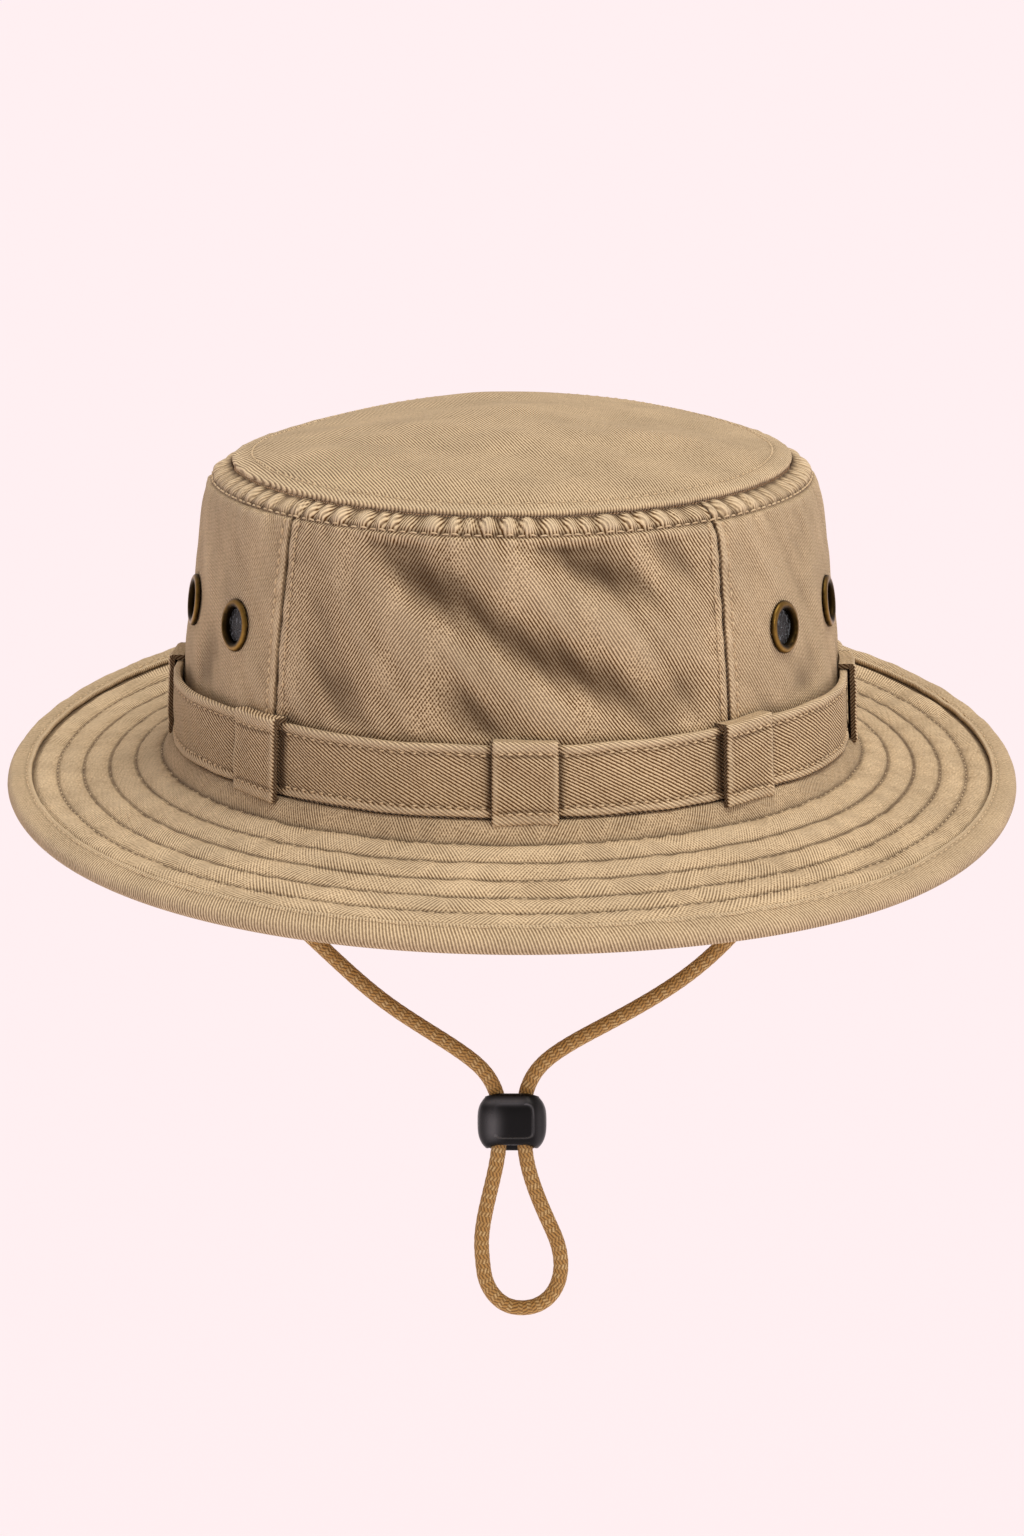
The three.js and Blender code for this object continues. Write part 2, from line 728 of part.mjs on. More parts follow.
// An eyelet is a rolled rim, a barrel through the cloth and a flange turned out behind it
function eyeletRing() {
  const seat = 2 * clearance;
  const behind = -clothWall - 2 * clearance;
  const profile = [
    [eyeletBore, behind - eyeletFlange],
    [eyeletRadius - eyeletFlange, behind - eyeletFlange],
    [eyeletRadius - eyeletFlange, behind],
    [eyeletBarrel, behind],
    [eyeletBarrel, seat],
    [eyeletRadius, seat],
    [(eyeletBarrel + eyeletRadius) / 2, seat + eyeletRoll],
    [eyeletBore, seat + 0.3 * eyeletRoll],
    [eyeletBore, behind - eyeletFlange],
  ];
  return new THREE.LatheGeometry(profile.map(([r, y]) => new THREE.Vector2(r, y)), roundSides);
}

for (const eyelet of eyelets) {
  const frame = eyeletFrame(eyelet);
  setOnFrame(addPiece(`eyelet_${eyelet.name}`, eyeletRing(), brass), frame);
  const disc = new THREE.CylinderGeometry(
    eyeletBore - clearance, eyeletBore - clearance, meshThickness, roundSides,
  );
  disc.translate(0, -meshThickness, 0);
  setOnFrame(addPiece(`vent_mesh_${eyelet.name}`, disc, blackMesh), frame);
}

// Each end of the cord is held in a folded tab sewn inside the head opening
for (const [name, side] of [['left', -1], ['right', 1]]) {
  const tab = new THREE.BoxGeometry(anchorSize.deep, anchorSize.wide, anchorSize.tall);
  const reach = wallHalf(0).width - clothWall - clearance - 0.1 - anchorSize.deep / 2;
  const piece = addPiece(`cord_anchor_${name}`, tab, twillDark);
  piece.position.set(side * reach, 0, anchorSize.tall / 2 - anchorDrop);
}

function chinCord() {
  const curve = new THREE.CatmullRomCurve3(cordRoute.map((point) => new THREE.Vector3(...point)));
  const section = new THREE.Shape();
  for (let i = 0; i < cordSides; i += 1) {
    const turn = (i + 0.5) * 2 * Math.PI / cordSides;
    const x = cordDiameter / 2 * Math.cos(turn);
    const y = cordDiameter / 2 * Math.sin(turn);
    if (i === 0) section.moveTo(x, y);
    else section.lineTo(x, y);
  }
  section.closePath();
  return new THREE.ExtrudeGeometry(section, {
    extrudePath: curve,
    steps: Math.round(curve.getLength() / (cordStep * cordDiameter)),
    bevelEnabled: false,
  });
}

addPiece('chin_cord', chinCord(), goldCord);

// The lock is a barrel with rounded sides, a shallow sunk face and one wide slot for both strands
function cordLock() {
  const columns = 24;
  const levels = 9;
  const power = 3;
  const round = (value, size) => size * (1 - Math.abs(value) ** power) ** (1 / power);
  const ring = (level) => {
    const row = [];
    for (let i = 0; i <= columns; i += 1) {
      const turn = (i % columns) * 2 * Math.PI / columns;
      const sin = Math.sin(turn);
      const cos = Math.cos(turn);
      const bend = (Math.abs(sin) ** power + Math.abs(cos) ** power) ** (-1 / power);
      const size = round(level, 1) * bend;
      row.push({
        u: i / columns,
        p: [lockHalfWidth * size * sin, -lockHalfDepth * size * cos, lockHalfHeight * level],
      });
    }
    return row;
  };
  const rows = [[{ u: 0, p: [0, 0, -lockHalfHeight] }]];
  for (let k = 1; k < levels; k += 1) rows.push(ring(-Math.cos(Math.PI * k / levels)));
  rows.push([{ u: 0, p: [0, 0, lockHalfHeight] }]);
  const slot = new THREE.Shape();
  const run = lockSlotHalfLength - lockSlotHalfDepth;
  slot.absarc(run, 0, lockSlotHalfDepth, -Math.PI / 2, Math.PI / 2, false);
  slot.absarc(-run, 0, lockSlotHalfDepth, Math.PI / 2, 3 * Math.PI / 2, false);
  const slotCut = new THREE.ExtrudeGeometry(slot, {
    depth: 3 * lockHalfHeight, curveSegments: roundSides / 2, bevelEnabled: false,
  });
  slotCut.translate(0, 0, -1.5 * lockHalfHeight);
  const faceCut = new THREE.BoxGeometry(0.52 * 2 * lockHalfWidth, 2 * lockPanelDepth, lockHalfHeight);
  faceCut.translate(0.05 * lockHalfWidth, -lockHalfDepth, 0.14 * lockHalfHeight);
  const body = toManifold(poleBody(rows)).subtract(toManifold(slotCut)).subtract(toManifold(faceCut));
  return fromManifold(body);
}

addPiece('cord_lock', cordLock(), blackPlastic).position.set(0, 0, lockCentre);

export default hat;
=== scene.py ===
"""Ranger hat of washed cotton twill, held up as a head holds it.

The oval crown has a gathered top, four side panels and brass vent eyelets. A quilted brim with a bound
rim, a hat band in cloth loops and a chin cord with its lock hang from it. Sizes are in millimetres, and
each mesh is scaled to metres as it is made. The face side looks towards -Y, and +Z is up. An angle t is
in degrees round the hat, 0 at the front and 90 at the right seen from the front.
"""

import logging
from dataclasses import dataclass
from enum import Enum
from typing import ClassVar

import bpy
import numpy as np
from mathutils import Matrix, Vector


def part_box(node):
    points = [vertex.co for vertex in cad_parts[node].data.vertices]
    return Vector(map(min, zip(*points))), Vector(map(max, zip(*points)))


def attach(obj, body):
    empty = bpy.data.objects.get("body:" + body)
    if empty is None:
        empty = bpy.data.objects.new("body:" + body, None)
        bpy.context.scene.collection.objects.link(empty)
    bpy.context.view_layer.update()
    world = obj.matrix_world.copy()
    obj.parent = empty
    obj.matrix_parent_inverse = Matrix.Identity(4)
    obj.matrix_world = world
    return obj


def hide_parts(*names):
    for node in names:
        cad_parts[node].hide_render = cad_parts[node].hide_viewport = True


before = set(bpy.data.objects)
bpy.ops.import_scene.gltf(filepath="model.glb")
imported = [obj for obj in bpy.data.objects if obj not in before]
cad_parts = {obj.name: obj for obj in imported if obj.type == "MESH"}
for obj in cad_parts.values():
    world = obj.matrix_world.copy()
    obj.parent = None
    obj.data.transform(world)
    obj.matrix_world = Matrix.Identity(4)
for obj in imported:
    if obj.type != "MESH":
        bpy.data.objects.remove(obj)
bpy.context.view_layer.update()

Array = np.ndarray
MM = 0.001
BODY = "root"
TAU = 2 * np.pi

log = logging.getLogger("ranger_hat")


# Small mathematics

def smooth(low: float, high: float, x: Array) -> Array:
    """Smooth step: 0 below low, 1 above high, and a cubic with level ends in between.

    Args:
        low: Where the step starts.
        high: Where the step ends.
        x: Places to read.

    Returns:
        The step's value at each place, from 0 to 1.
    """
    share = np.clip((x - low) / (high - low), 0, 1)
    return share * share * (3 - 2 * share)


def bell(x: Array, width: float) -> Array:
    """Bell curve: e to the power of minus half the square of x over width."""
    return np.exp(-0.5 * (x / width) ** 2)


def angle_gap(a: Array, b: float) -> Array:
    """Signed gap from angle b to angle a in degrees, from -180 to 180."""
    return (a - b + 540) % 360 - 180


def read_table(x: Array, stations: Array, values: Array) -> Array:
    """Reads a table on a smooth curve: a cubic between rows, whose slopes come from the rows beside.

    Args:
        x: Places to read.
        stations: The table's places, rising.
        values: The table's values.

    Returns:
        The value at each place, held level past both ends.
    """
    low = np.maximum(np.arange(len(stations)) - 1, 0)
    high = np.minimum(np.arange(len(stations)) + 1, len(stations) - 1)
    slopes = (values[high] - values[low]) / (stations[high] - stations[low])
    x = np.clip(x, stations[0], stations[-1])
    k = np.clip(np.searchsorted(stations, x, side="right") - 1, 0, len(stations) - 2)
    span = stations[k + 1] - stations[k]
    s = (x - stations[k]) / span
    rise = values[k + 1] - values[k]
    bend = (slopes[k] * span - rise) * (1 - s) + (rise - slopes[k + 1] * span) * s
    return values[k] + rise * s + s * (1 - s) * bend


def ripples(points: Array, wavelength: float, seed: int, count: int = 9) -> Array:
    """Smooth seeded unevenness: a sum of sine waves that run in random directions through space.

    Args:
        points: Places, with x, y and z last.
        wavelength: Typical distance between two crests.
        seed: Start of the random draw.
        count: How many waves are summed.

    Returns:
        A value for each place, about -1 to 1.
    """
    rng = np.random.default_rng(seed)
    way = rng.normal(size=(count, 3))
    way /= np.linalg.norm(way, axis=1, keepdims=True) * wavelength * rng.uniform(0.7, 1.5, (count, 1))
    turns = points @ way.T + rng.uniform(0, 1, count)
    return np.sin(TAU * turns).sum(-1) / np.sqrt(count)


def smooth_line(points: Array, step: float) -> Array:
    """Natural cubic spline through the points, whose bends change evenly, sampled at an even step.

    Args:
        points: Points that the line passes through.
        step: Distance between the points returned.

    Returns:
        The points of the line.
    """
    gaps = np.linalg.norm(np.diff(points, axis=0), axis=1)
    knots = np.concatenate([[0], np.cumsum(gaps)])
    n = len(points)
    system = np.eye(n)
    right = np.zeros((n, 3))
    inner = np.arange(1, n - 1)
    system[inner, inner - 1] = gaps[:-1]
    system[inner, inner] = 2 * (gaps[:-1] + gaps[1:])
    system[inner, inner + 1] = gaps[1:]
    slope = np.diff(points, axis=0) / gaps[:, None]
    right[1:-1] = 6 * (slope[1:] - slope[:-1])
    bend = np.linalg.solve(system, right)
    at = np.linspace(0, knots[-1], int(knots[-1] / step) * 4)
    k = np.clip(np.searchsorted(knots, at, side="right") - 1, 0, n - 2)
    h = gaps[k][:, None]
    a = (knots[k + 1] - at)[:, None] / h
    b = 1 - a
    cubic = ((a ** 3 - a) * bend[k] + (b ** 3 - b) * bend[k + 1]) * h * h / 6
    fine = a * points[k] + b * points[k + 1] + cubic
    run = np.concatenate([[0], np.cumsum(np.linalg.norm(np.diff(fine, axis=0), axis=1))])
    even = np.linspace(0, run[-1], int(round(run[-1] / step)) + 1)
    return np.stack([np.interp(even, run, fine[:, c]) for c in range(3)], axis=1)


def unit(vectors: Array) -> Array:
    """The vectors at length one."""
    return vectors / np.maximum(np.linalg.norm(vectors, axis=-1, keepdims=True), 1e-9)


# Meshes from grids

def grid_faces(rows: int, columns: int, round_rows: bool, round_columns: bool) -> tuple[Array, Array]:
    """Four-cornered faces of a grid that may close on itself.

    Args:
        rows: Number of rows of points.
        columns: Number of columns of points.
        round_rows: True if the last row joins the first.
        round_columns: True if the last column joins the first.

    Returns:
        The faces' corners on the closed grid, and on the opened-out grid, which repeats its first
        row or column at its end so that a pattern can run on.
    """
    i = np.arange(rows - 1 + round_rows)[:, None]
    j = np.arange(columns - 1 + round_columns)[None, :]
    corners = [(i, j), (i, j + 1), (i + 1, j + 1), (i + 1, j)]
    closed = [(r % rows) * columns + c % columns for r, c in corners]
    wide = columns + round_columns
    opened = [r * wide + c for r, c in corners]
    return np.stack(closed, -1).reshape(-1, 4), np.stack(opened, -1).reshape(-1, 4)


def make_piece(
    name: str, points: Array, faces: list[Array], weave: Array | None = None,
    floats: dict[str, Array] | None = None, flat_from: int | None = None,
) -> bpy.types.Object:
    """Makes a mesh object from points in millimetres.

    Args:
        name: The piece's name.
        points: Points, one to a row.
        faces: Arrays of corner indices, each array with faces of one kind.
        weave: Pattern coordinates in millimetres for each corner of each face, in the faces' order.
        floats: Named values for each point, which a material reads.
        flat_from: Index of the first face with hard edges. The faces before it are smooth.

    Returns:
        The object, linked to the scene, at the origin.
    """
    mesh = bpy.data.meshes.new(name)
    listed = [face for kind in faces for face in kind.tolist()]
    mesh.from_pydata((points.reshape(-1, 3) * MM).tolist(), [], listed)
    shaded = np.arange(len(listed)) < (len(listed) if flat_from is None else flat_from)
    mesh.polygons.foreach_set("use_smooth", shaded)
    if weave is not None:
        layer = mesh.uv_layers.new(name="weave")
        layer.data.foreach_set("uv", weave.astype(np.float32).ravel())
    for key, values in (floats or {}).items():
        attribute = mesh.attributes.new(key, "FLOAT", "POINT")
        attribute.data.foreach_set("value", values.astype(np.float32).ravel())
    mesh.update()
    made = bpy.data.objects.new(name, mesh)
    bpy.context.scene.collection.objects.link(made)
    return made


def walled_piece(
    name: str, outer: Array, inner: Array, faces: Array, weave: Array,
    floats: dict[str, Array] | None = None,
) -> bpy.types.Object:
    """Closes two sheets of cloth that have the same faces into one body with a wall.

    The edges that belong to one face only are the cloth's cut edges, and each gets a face from the
    outer sheet to the inner one.

    Args:
        name: The piece's name.
        outer: Points of the outer sheet.
        inner: Points of the inner sheet, in the same order.
        faces: Four-cornered faces of the outer sheet, whose fronts look outwards.
        weave: Pattern coordinates for each point.
        floats: Named values for each point of the outer sheet.

    Returns:
        The object.
    """
    count = len(outer)
    starts = faces.ravel()
    ends = np.roll(faces, -1, axis=1).ravel()
    keys = np.minimum(starts, ends) * count + np.maximum(starts, ends)
    _, back, times = np.unique(keys, return_inverse=True, return_counts=True)
    cut = times[back] == 1
    border = np.stack([ends[cut], starts[cut], starts[cut] + count, ends[cut] + count], -1)
    kinds = [faces, faces[:, ::-1] + count, border]
    points = np.concatenate([outer, inner])
    weave = np.concatenate([weave.reshape(-1, 2), weave.reshape(-1, 2) + np.array([1.1, -0.9])])
    corner = np.concatenate([kind.ravel() for kind in kinds])
    doubled = {key: np.concatenate([v.ravel(), v.ravel()]) for key, v in (floats or {}).items()}
    used = np.unique(np.concatenate([kind.ravel() for kind in kinds]))
    renumber = np.zeros(len(points), int)
    renumber[used] = np.arange(len(used))
    return make_piece(
        name, points[used], [renumber[kind] for kind in kinds], weave[corner],
        {key: v[used] for key, v in doubled.items()}, flat_from=2 * len(faces),
    )


def swept_piece(
    name: str, sections: Array, weave: Array, floats: dict[str, Array] | None = None,
    round_columns: bool = True, flip: bool = False,
) -> bpy.types.Object:
    """Closes a section, carried along a path, into one body.

    Args:
        name: The piece's name.
        sections: Points, with a row for each place on the section and a column for each on the path.
        weave: Pattern coordinates on the opened-out grid.
        floats: Named values for each point.
        round_columns: True if the path closes on itself. If not, its two ends are capped.
        flip: True to turn the faces over.

    Returns:
        The object.
    """
    rows, columns = sections.shape[:2]
    faces, opened = grid_faces(rows, columns, True, round_columns)
    kinds = [faces]
    corners = [opened.ravel()]
    if not round_columns:
        start = np.arange(rows)[None, :] * columns
        kinds.extend([start, start[:, ::-1] + columns - 1])
        corners.extend([start.ravel(), (start[:, ::-1] + columns - 1).ravel()])
    if flip:
        kinds = [kind[:, ::-1] for kind in kinds]
        corners = [kind.ravel()[::-1] if i else kind.reshape(-1, 4)[:, ::-1].ravel()
                   for i, kind in enumerate(corners)]
    return make_piece(
        name, sections, kinds, weave.reshape(-1, 2)[np.concatenate(corners)], floats,
        flat_from=len(faces),
    )


# The hat's form

@dataclass(frozen=True)
class HatForm:
    """The oval forms that every piece follows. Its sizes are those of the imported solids.

    The cloth's own soft shape is in the gathered strip's height, and in the droop and hang fields.
    """

    crown_half_width: float = 88.5
    crown_half_length: float = 102.5
    seam_half_width: float = 74.8
    seam_half_length: float = 89.5
    crown_height: float = 74.7
    crown_tuck: float = 5.0
    cloth_wall: float = 1.5
    gather_height: float = 3.6
    band_high: float = 19.3
    brim_width: float = 47.5
    left_droop: float = 3.2
    right_droop: float = 1.9
    droop_angle: float = 122.0
    droop_spread: float = 26.0
    shoulder_hang: float = 0.5

    def wall_half(self, z: Array) -> tuple[Array, Array]:
        """Half width and half length of the crown wall: both ovals mixed by the section table's spread.

        Args:
            z: Heights.

        Returns:
            The half widths and half lengths.
        """
        share = np.array([0, .32, .43, .55, .66, .77, .88, .94, .975, 1])
        spread = np.array([1, .93, .87, .79, .73, .645, .555, .44, .27, 0])
        mixed = read_table(z / self.crown_height, share, spread)
        width = self.seam_half_width + (self.crown_half_width - self.seam_half_width) * mixed
        length = self.seam_half_length + (self.crown_half_length - self.seam_half_length) * mixed
        return width, length

    def oval(self, half_width: Array, half_length: Array, t: Array) -> Array:
        """Point on an oval: half width times sine of t, and minus half length times cosine of t."""
        angle = np.radians(t)
        return np.stack(np.broadcast_arrays(half_width * np.sin(angle), -half_length * np.cos(angle)), -1)

    def oval_normal(self, half_width: Array, half_length: Array, t: Array) -> Array:
        """Level outward direction of an oval: its two half sizes changed over, at length one."""
        return unit(self.oval(half_length, half_width, t))

    def arc(self, t: Array) -> Array:
        """Distance along the head opening's oval from the front: speeds summed over fine steps."""
        fine = np.linspace(-400, 760, 2321)
        angle = np.radians(fine)
        speed = np.hypot(self.crown_half_width * np.cos(angle), self.crown_half_length * np.sin(angle))
        run = np.concatenate([[0], np.cumsum((speed[1:] + speed[:-1]) / 2 * np.diff(angle))])
        return np.interp(t, fine, run - np.interp(0, fine, run))

    def angle_at(self, arc: Array) -> Array:
        """Angle at a distance along the head opening's oval: the arc function read backwards."""
        fine = np.linspace(-400, 760, 2321)
        return np.interp(arc, self.arc(fine), fine)

    def droop(self, t: Array, z: Array) -> Array:
        """How far the crown's soft top corners hang at the back of each side, fading down the wall."""
        left = self.left_droop * bell(angle_gap(t, -self.droop_angle), self.droop_spread)
        right = self.right_droop * bell(angle_gap(t, self.droop_angle), self.droop_spread)
        return (left + right) * smooth(0.45, 1, z / self.crown_height)

    def wall_normal(self, t: Array, z: Array) -> Array:
        """Outward direction of the crown wall, tilted up as the wall leans in."""
        low = np.minimum(z, self.crown_height - 0.5)
        tilt = np.arctan2(self.wall_half(low)[0] - self.wall_half(low + 0.5)[0], 0.5)
        width, length = self.wall_half(z)
        level = self.oval_normal(width, length, t)
        up = np.broadcast_to(np.sin(tilt), level.shape[:-1])
        return np.concatenate([level * np.cos(tilt)[..., None], up[..., None]], -1)

    def wall_point(self, t: Array, z: Array, out: Array) -> Array:
        """Point of the crown wall at angle t and height z, moved out along the wall's own direction."""
        t, z, out = np.broadcast_arrays(t, z, out)
        width, length = self.wall_half(z)
        flat = self.oval(width, length, t)
        sides = bell(angle_gap(t, -104), 30) + 0.7 * bell(angle_gap(t, 104), 30)
        hang = self.shoulder_hang * sides * bell(z - self.crown_height + 3.6, 2.4)
        base = np.concatenate([flat, (z - self.droop(t, z) - hang)[..., None]], -1)
        return base + self.wall_normal(t, z) * out[..., None]

    def belt_point(self, t: Array, z: Array, out: Array) -> Array:
        """Point of the crown wall at angle t and height z, moved level outwards."""
        t, z, out = np.broadcast_arrays(t, z, out)
        width, length = self.wall_half(z)
        flat = self.oval(width, length, t) + self.oval_normal(width, length, t) * out[..., None]
        return np.concatenate([flat, z[..., None]], -1)

    def brim_height(self, t: Array, out: Array) -> Array:
        """Height of the brim's middle surface.

        Three tables give it at the front, the side and the back. The angle's cosine mixes front and
        back, its square brings in the side, and two slow dips lower the rim.

        Args:
            t: Angles.
            out: Distances out from the crown wall.

        Returns:
            The heights.
        """
        share = out / self.brim_width
        stations = np.array([0, .126, .274, .421, .568, .716, .863, 1])
        front = np.array([-.088, -.133, -.194, -.250, -.305, -.350, -.394, -.444])
        side = np.array([-.088, -.124, -.173, -.204, -.219, -.229, -.233, -.244])
        back = np.array([-.088, -.105, -.114, -.105, -.080, -.042, .010, .058])
        front, side, back = (read_table(share, stations, v) * self.brim_width for v in (front, side, back))
        turn = np.cos(np.radians(t))
        height = side + (front - back) / 2 * turn + ((front + back) / 2 - side) * turn ** 2
        dips = 0.042 * bell(angle_gap(t, 50), 21) - 0.014 * bell(angle_gap(t, -76), 12)
        return height - dips * self.brim_width * share ** 2

    def brim_point(self, t: Array, out: Array, lift: Array) -> Array:
        """Point of the brim at angle t and a distance out from the crown, lifted off its middle surface."""
        t, out, lift = np.broadcast_arrays(t, out, lift)
        flat = self.oval(self.crown_half_width + out, self.crown_half_length + out, t)
        return np.concatenate([flat, (self.brim_height(t, out) + lift)[..., None]], -1)


class Slant(Enum):
    """How twill lines lie on a piece, seen from outside."""

    DOWN_RIGHT = "down to the right"
    DOWN_LEFT = "down to the left"


def weave_lines(along: Array, up: Array, steepness: float, slant: Slant) -> Array:
    """Weave coordinates in millimetres: the distance across the twill lines and the one along them.

    Args:
        along: Distances to the right over the cloth.
        up: Distances upwards over the cloth.
        steepness: Angle of the lines from level, in degrees.
        slant: How the lines lie.

    Returns:
        The two coordinates, last.
    """
    if slant is Slant.DOWN_LEFT:
        along = -along
    sine = np.sin(np.radians(steepness))
    cosine = np.cos(np.radians(steepness))
    across = along * sine + up * cosine
    run = along * cosine - up * sine
    return np.stack(np.broadcast_arrays(across, run), -1)


# Finishes

def linear(code: str) -> tuple[float, float, float, float]:
    """Turns an sRGB hex colour to linear: a straight part near black and a power of 2.4 above it."""
    shares = np.array([int(code[i:i + 2], 16) for i in (1, 3, 5)]) / 255
    values = np.where(shares <= 0.04045, shares / 12.92, ((shares + 0.055) / 1.055) ** 2.4)
    return (*values.tolist(), 1.0)


def node(
    tree: bpy.types.NodeTree, kind: str, inputs: dict | None = None, **options: object,
) -> bpy.types.Node:
    """Adds a node, sets its options, and fills each input with a value or links it to a socket.

    Args:
        tree: The material's node tree.
        kind: The node's type.
        inputs: Values or sockets by the input's name or number.
        **options: The node's own options.

    Returns:
        The node.
    """
    made = tree.nodes.new("ShaderNode" + kind)
    for name, value in options.items():
        setattr(made, name, value)
    for key, value in (inputs or {}).items():
        if isinstance(value, bpy.types.NodeSocket):
            tree.links.new(value, made.inputs[key])
        else:
            made.inputs[key].default_value = value
    return made


def blank_material(name: str) -> tuple[bpy.types.Material, bpy.types.NodeTree]:
    """Makes an empty node material.

    Args:
        name: The material's name.

    Returns:
        The material and its node tree.
    """
    material = bpy.data.materials.new(name)
    material.use_nodes = True
    material.node_tree.nodes.clear()
    return material, material.node_tree


@dataclass(frozen=True)
class Twill:
    """Cotton drill, woven in a twill, garment dyed khaki and washed.

    Its diagonal ribs stand up as rows of short rounded floats, and loose fibre gives the whole a dull,
    soft sheen. The piece's painted shade value darkens the cloth where shade falls: in creases, grooves
    and under other parts. Below 0 it pales the cloth, a painted highlight on ridges and rolled edges that
    is partly wash wear. Where the piece's turned value is 1, a second family of ribs that crosses the
    first takes over.
    """

    name: str
    middle: float = 0.5
    contrast: float = 0.9
    rib_spacing: float = 0.8
    float_length: float = 1.5
    relief: float = 0.3
    crossing: float = 108.0
    beading: float = 0.2
    rib_light: str = "#F0D7AF"
    rib_dark: str = "#634119"
    # Colour of the painted shade, then the paler colour: a painted highlight that is partly wash wear.
    painted_shade: str = "#40270D"
    paler: str = "#F0DAB6"

    def ribs(self, tree: bpy.types.NodeTree, across: object, run: object, wander: object) -> object:
        """Adds one family of ribs: a cosine across the lines, beaded by a cosine along each line.

        Args:
            tree: The material's node tree.
            across: Socket with the distance across the lines.
            run: Socket with the distance along them.
            wander: Socket that shifts the lines a little.

        Returns:
            A socket with the height, 0 to 1.
        """
        turns = node(tree, "Math", {0: across, 1: 1 / self.rib_spacing}, operation="MULTIPLY")
        turns = node(tree, "Math", {0: wander, 1: 0.9, 2: turns.outputs[0]}, operation="MULTIPLY_ADD")
        wave = node(tree, "Math", {0: turns.outputs[0], 1: TAU}, operation="MULTIPLY")
        wave = node(tree, "Math", {0: wave.outputs[0]}, operation="COSINE")
        rib = node(tree, "Math", {0: wave.outputs[0], 1: 0.5, 2: 0.5}, operation="MULTIPLY_ADD")
        row = node(tree, "Math", {0: turns.outputs[0], 1: 0.5}, operation="ADD")
        row = node(tree, "Math", {0: row.outputs[0]}, operation="FLOOR")
        start = node(tree, "Math", {0: row.outputs[0], 1: 0.38 * TAU}, operation="MULTIPLY")
        bead = node(tree, "Math", {0: run, 1: TAU / self.float_length, 2: start.outputs[0]},
                    operation="MULTIPLY_ADD")
        bead = node(tree, "Math", {0: bead.outputs[0]}, operation="COSINE")
        bead = node(tree, "Math", {0: bead.outputs[0], 1: self.beading, 2: 1 - self.beading},
                    operation="MULTIPLY_ADD")
        return node(tree, "Math", {0: rib.outputs[0], 1: bead.outputs[0]}, operation="MULTIPLY").outputs[0]

    def material(self) -> bpy.types.Material:
        """Builds the material on the piece's weave coordinates.

        Returns:
            The material.
        """
        material, tree = blank_material(self.name)
        weave = node(tree, "UVMap", uv_map="weave")
        place = node(tree, "TexCoord").outputs["Object"]
        split = node(tree, "SeparateXYZ", {0: weave.outputs[0]})
        across, run = split.outputs[0], split.outputs[1]
        wander = node(tree, "TexNoise", {"Vector": place, "Scale": 1 / (11 * MM), "Detail": 1.0})
        slub = node(tree, "TexNoise", {"Vector": place, "Scale": 1 / (0.8 * MM), "Detail": 2.0})
        cloud = node(tree, "TexNoise", {"Vector": place, "Scale": 1 / (18 * MM), "Detail": 4.0})
        cosine, sine = np.cos(np.radians(self.crossing)), np.sin(np.radians(self.crossing))
        part = node(tree, "Math", {0: across, 1: float(cosine)}, operation="MULTIPLY")
        other = node(tree, "Math", {0: run, 1: float(-sine), 2: part.outputs[0]}, operation="MULTIPLY_ADD")
        first = self.ribs(tree, across, run, wander.outputs[0])
        second = self.ribs(tree, other.outputs[0], across, wander.outputs[0])
        turned = node(tree, "Attribute", attribute_name="turned")
        height = node(tree, "Mix", {0: turned.outputs["Fac"], 2: first, 3: second})
        grain = node(tree, "Math", {0: slub.outputs[0], 1: 0.55, 2: height.outputs[0]},
                     operation="MULTIPLY_ADD")
        tone = node(tree, "MapRange", {0: grain.outputs[0], 1: 0.12, 2: 1.05,
                                       3: self.middle - self.contrast / 2,
                                       4: self.middle + self.contrast / 2})
        dyed = node(tree, "Mix", {0: tone.outputs[0], 6: linear(self.rib_dark), 7: linear(self.rib_light)},
                    data_type="RGBA")
        # Painted shade: the piece's value above 0 darkens the cloth towards the shade colour. Below 0 it
        # pales it, a painted highlight that is partly wash wear.
        wear_and_shade = node(tree, "Attribute", attribute_name="painted_shade")
        depth = node(tree, "MapRange", {0: wear_and_shade.outputs["Fac"], 1: 0.0, 2: 1.0, 3: 0.0, 4: 0.8})
        with_shade = node(tree, "Mix", {0: depth.outputs[0], 6: dyed.outputs[2], 7: linear(self.painted_shade)},
                    data_type="RGBA")
        high = node(tree, "MapRange", {0: wear_and_shade.outputs["Fac"], 1: 0.0, 2: -1.0, 3: 0.0, 4: 0.6})
        pale = node(tree, "Mix", {0: high.outputs[0], 6: with_shade.outputs[2], 7: linear(self.paler)},
                    data_type="RGBA")
        shade = node(tree, "MapRange", {0: cloud.outputs[0], 1: 0.3, 2: 0.7, 3: 0.9, 4: 1.07})
        final = node(tree, "Mix", {0: 1.0, 6: pale.outputs[2], 7: shade.outputs[0]},
                     data_type="RGBA", blend_type="MULTIPLY")
        bump = node(tree, "Bump", {"Height": grain.outputs[0], "Distance": self.relief * MM,
                                   "Strength": 1.0})
        shader = node(tree, "BsdfPrincipled", {
            "Base Color": final.outputs[2], "Roughness": 0.92, "Specular IOR Level": 0.15,
            "Sheen Weight": 0.08, "Sheen Roughness": 0.5, "Normal": bump.outputs[0],
        })
        node(tree, "OutputMaterial", {0: shader.outputs[0]})
        return material


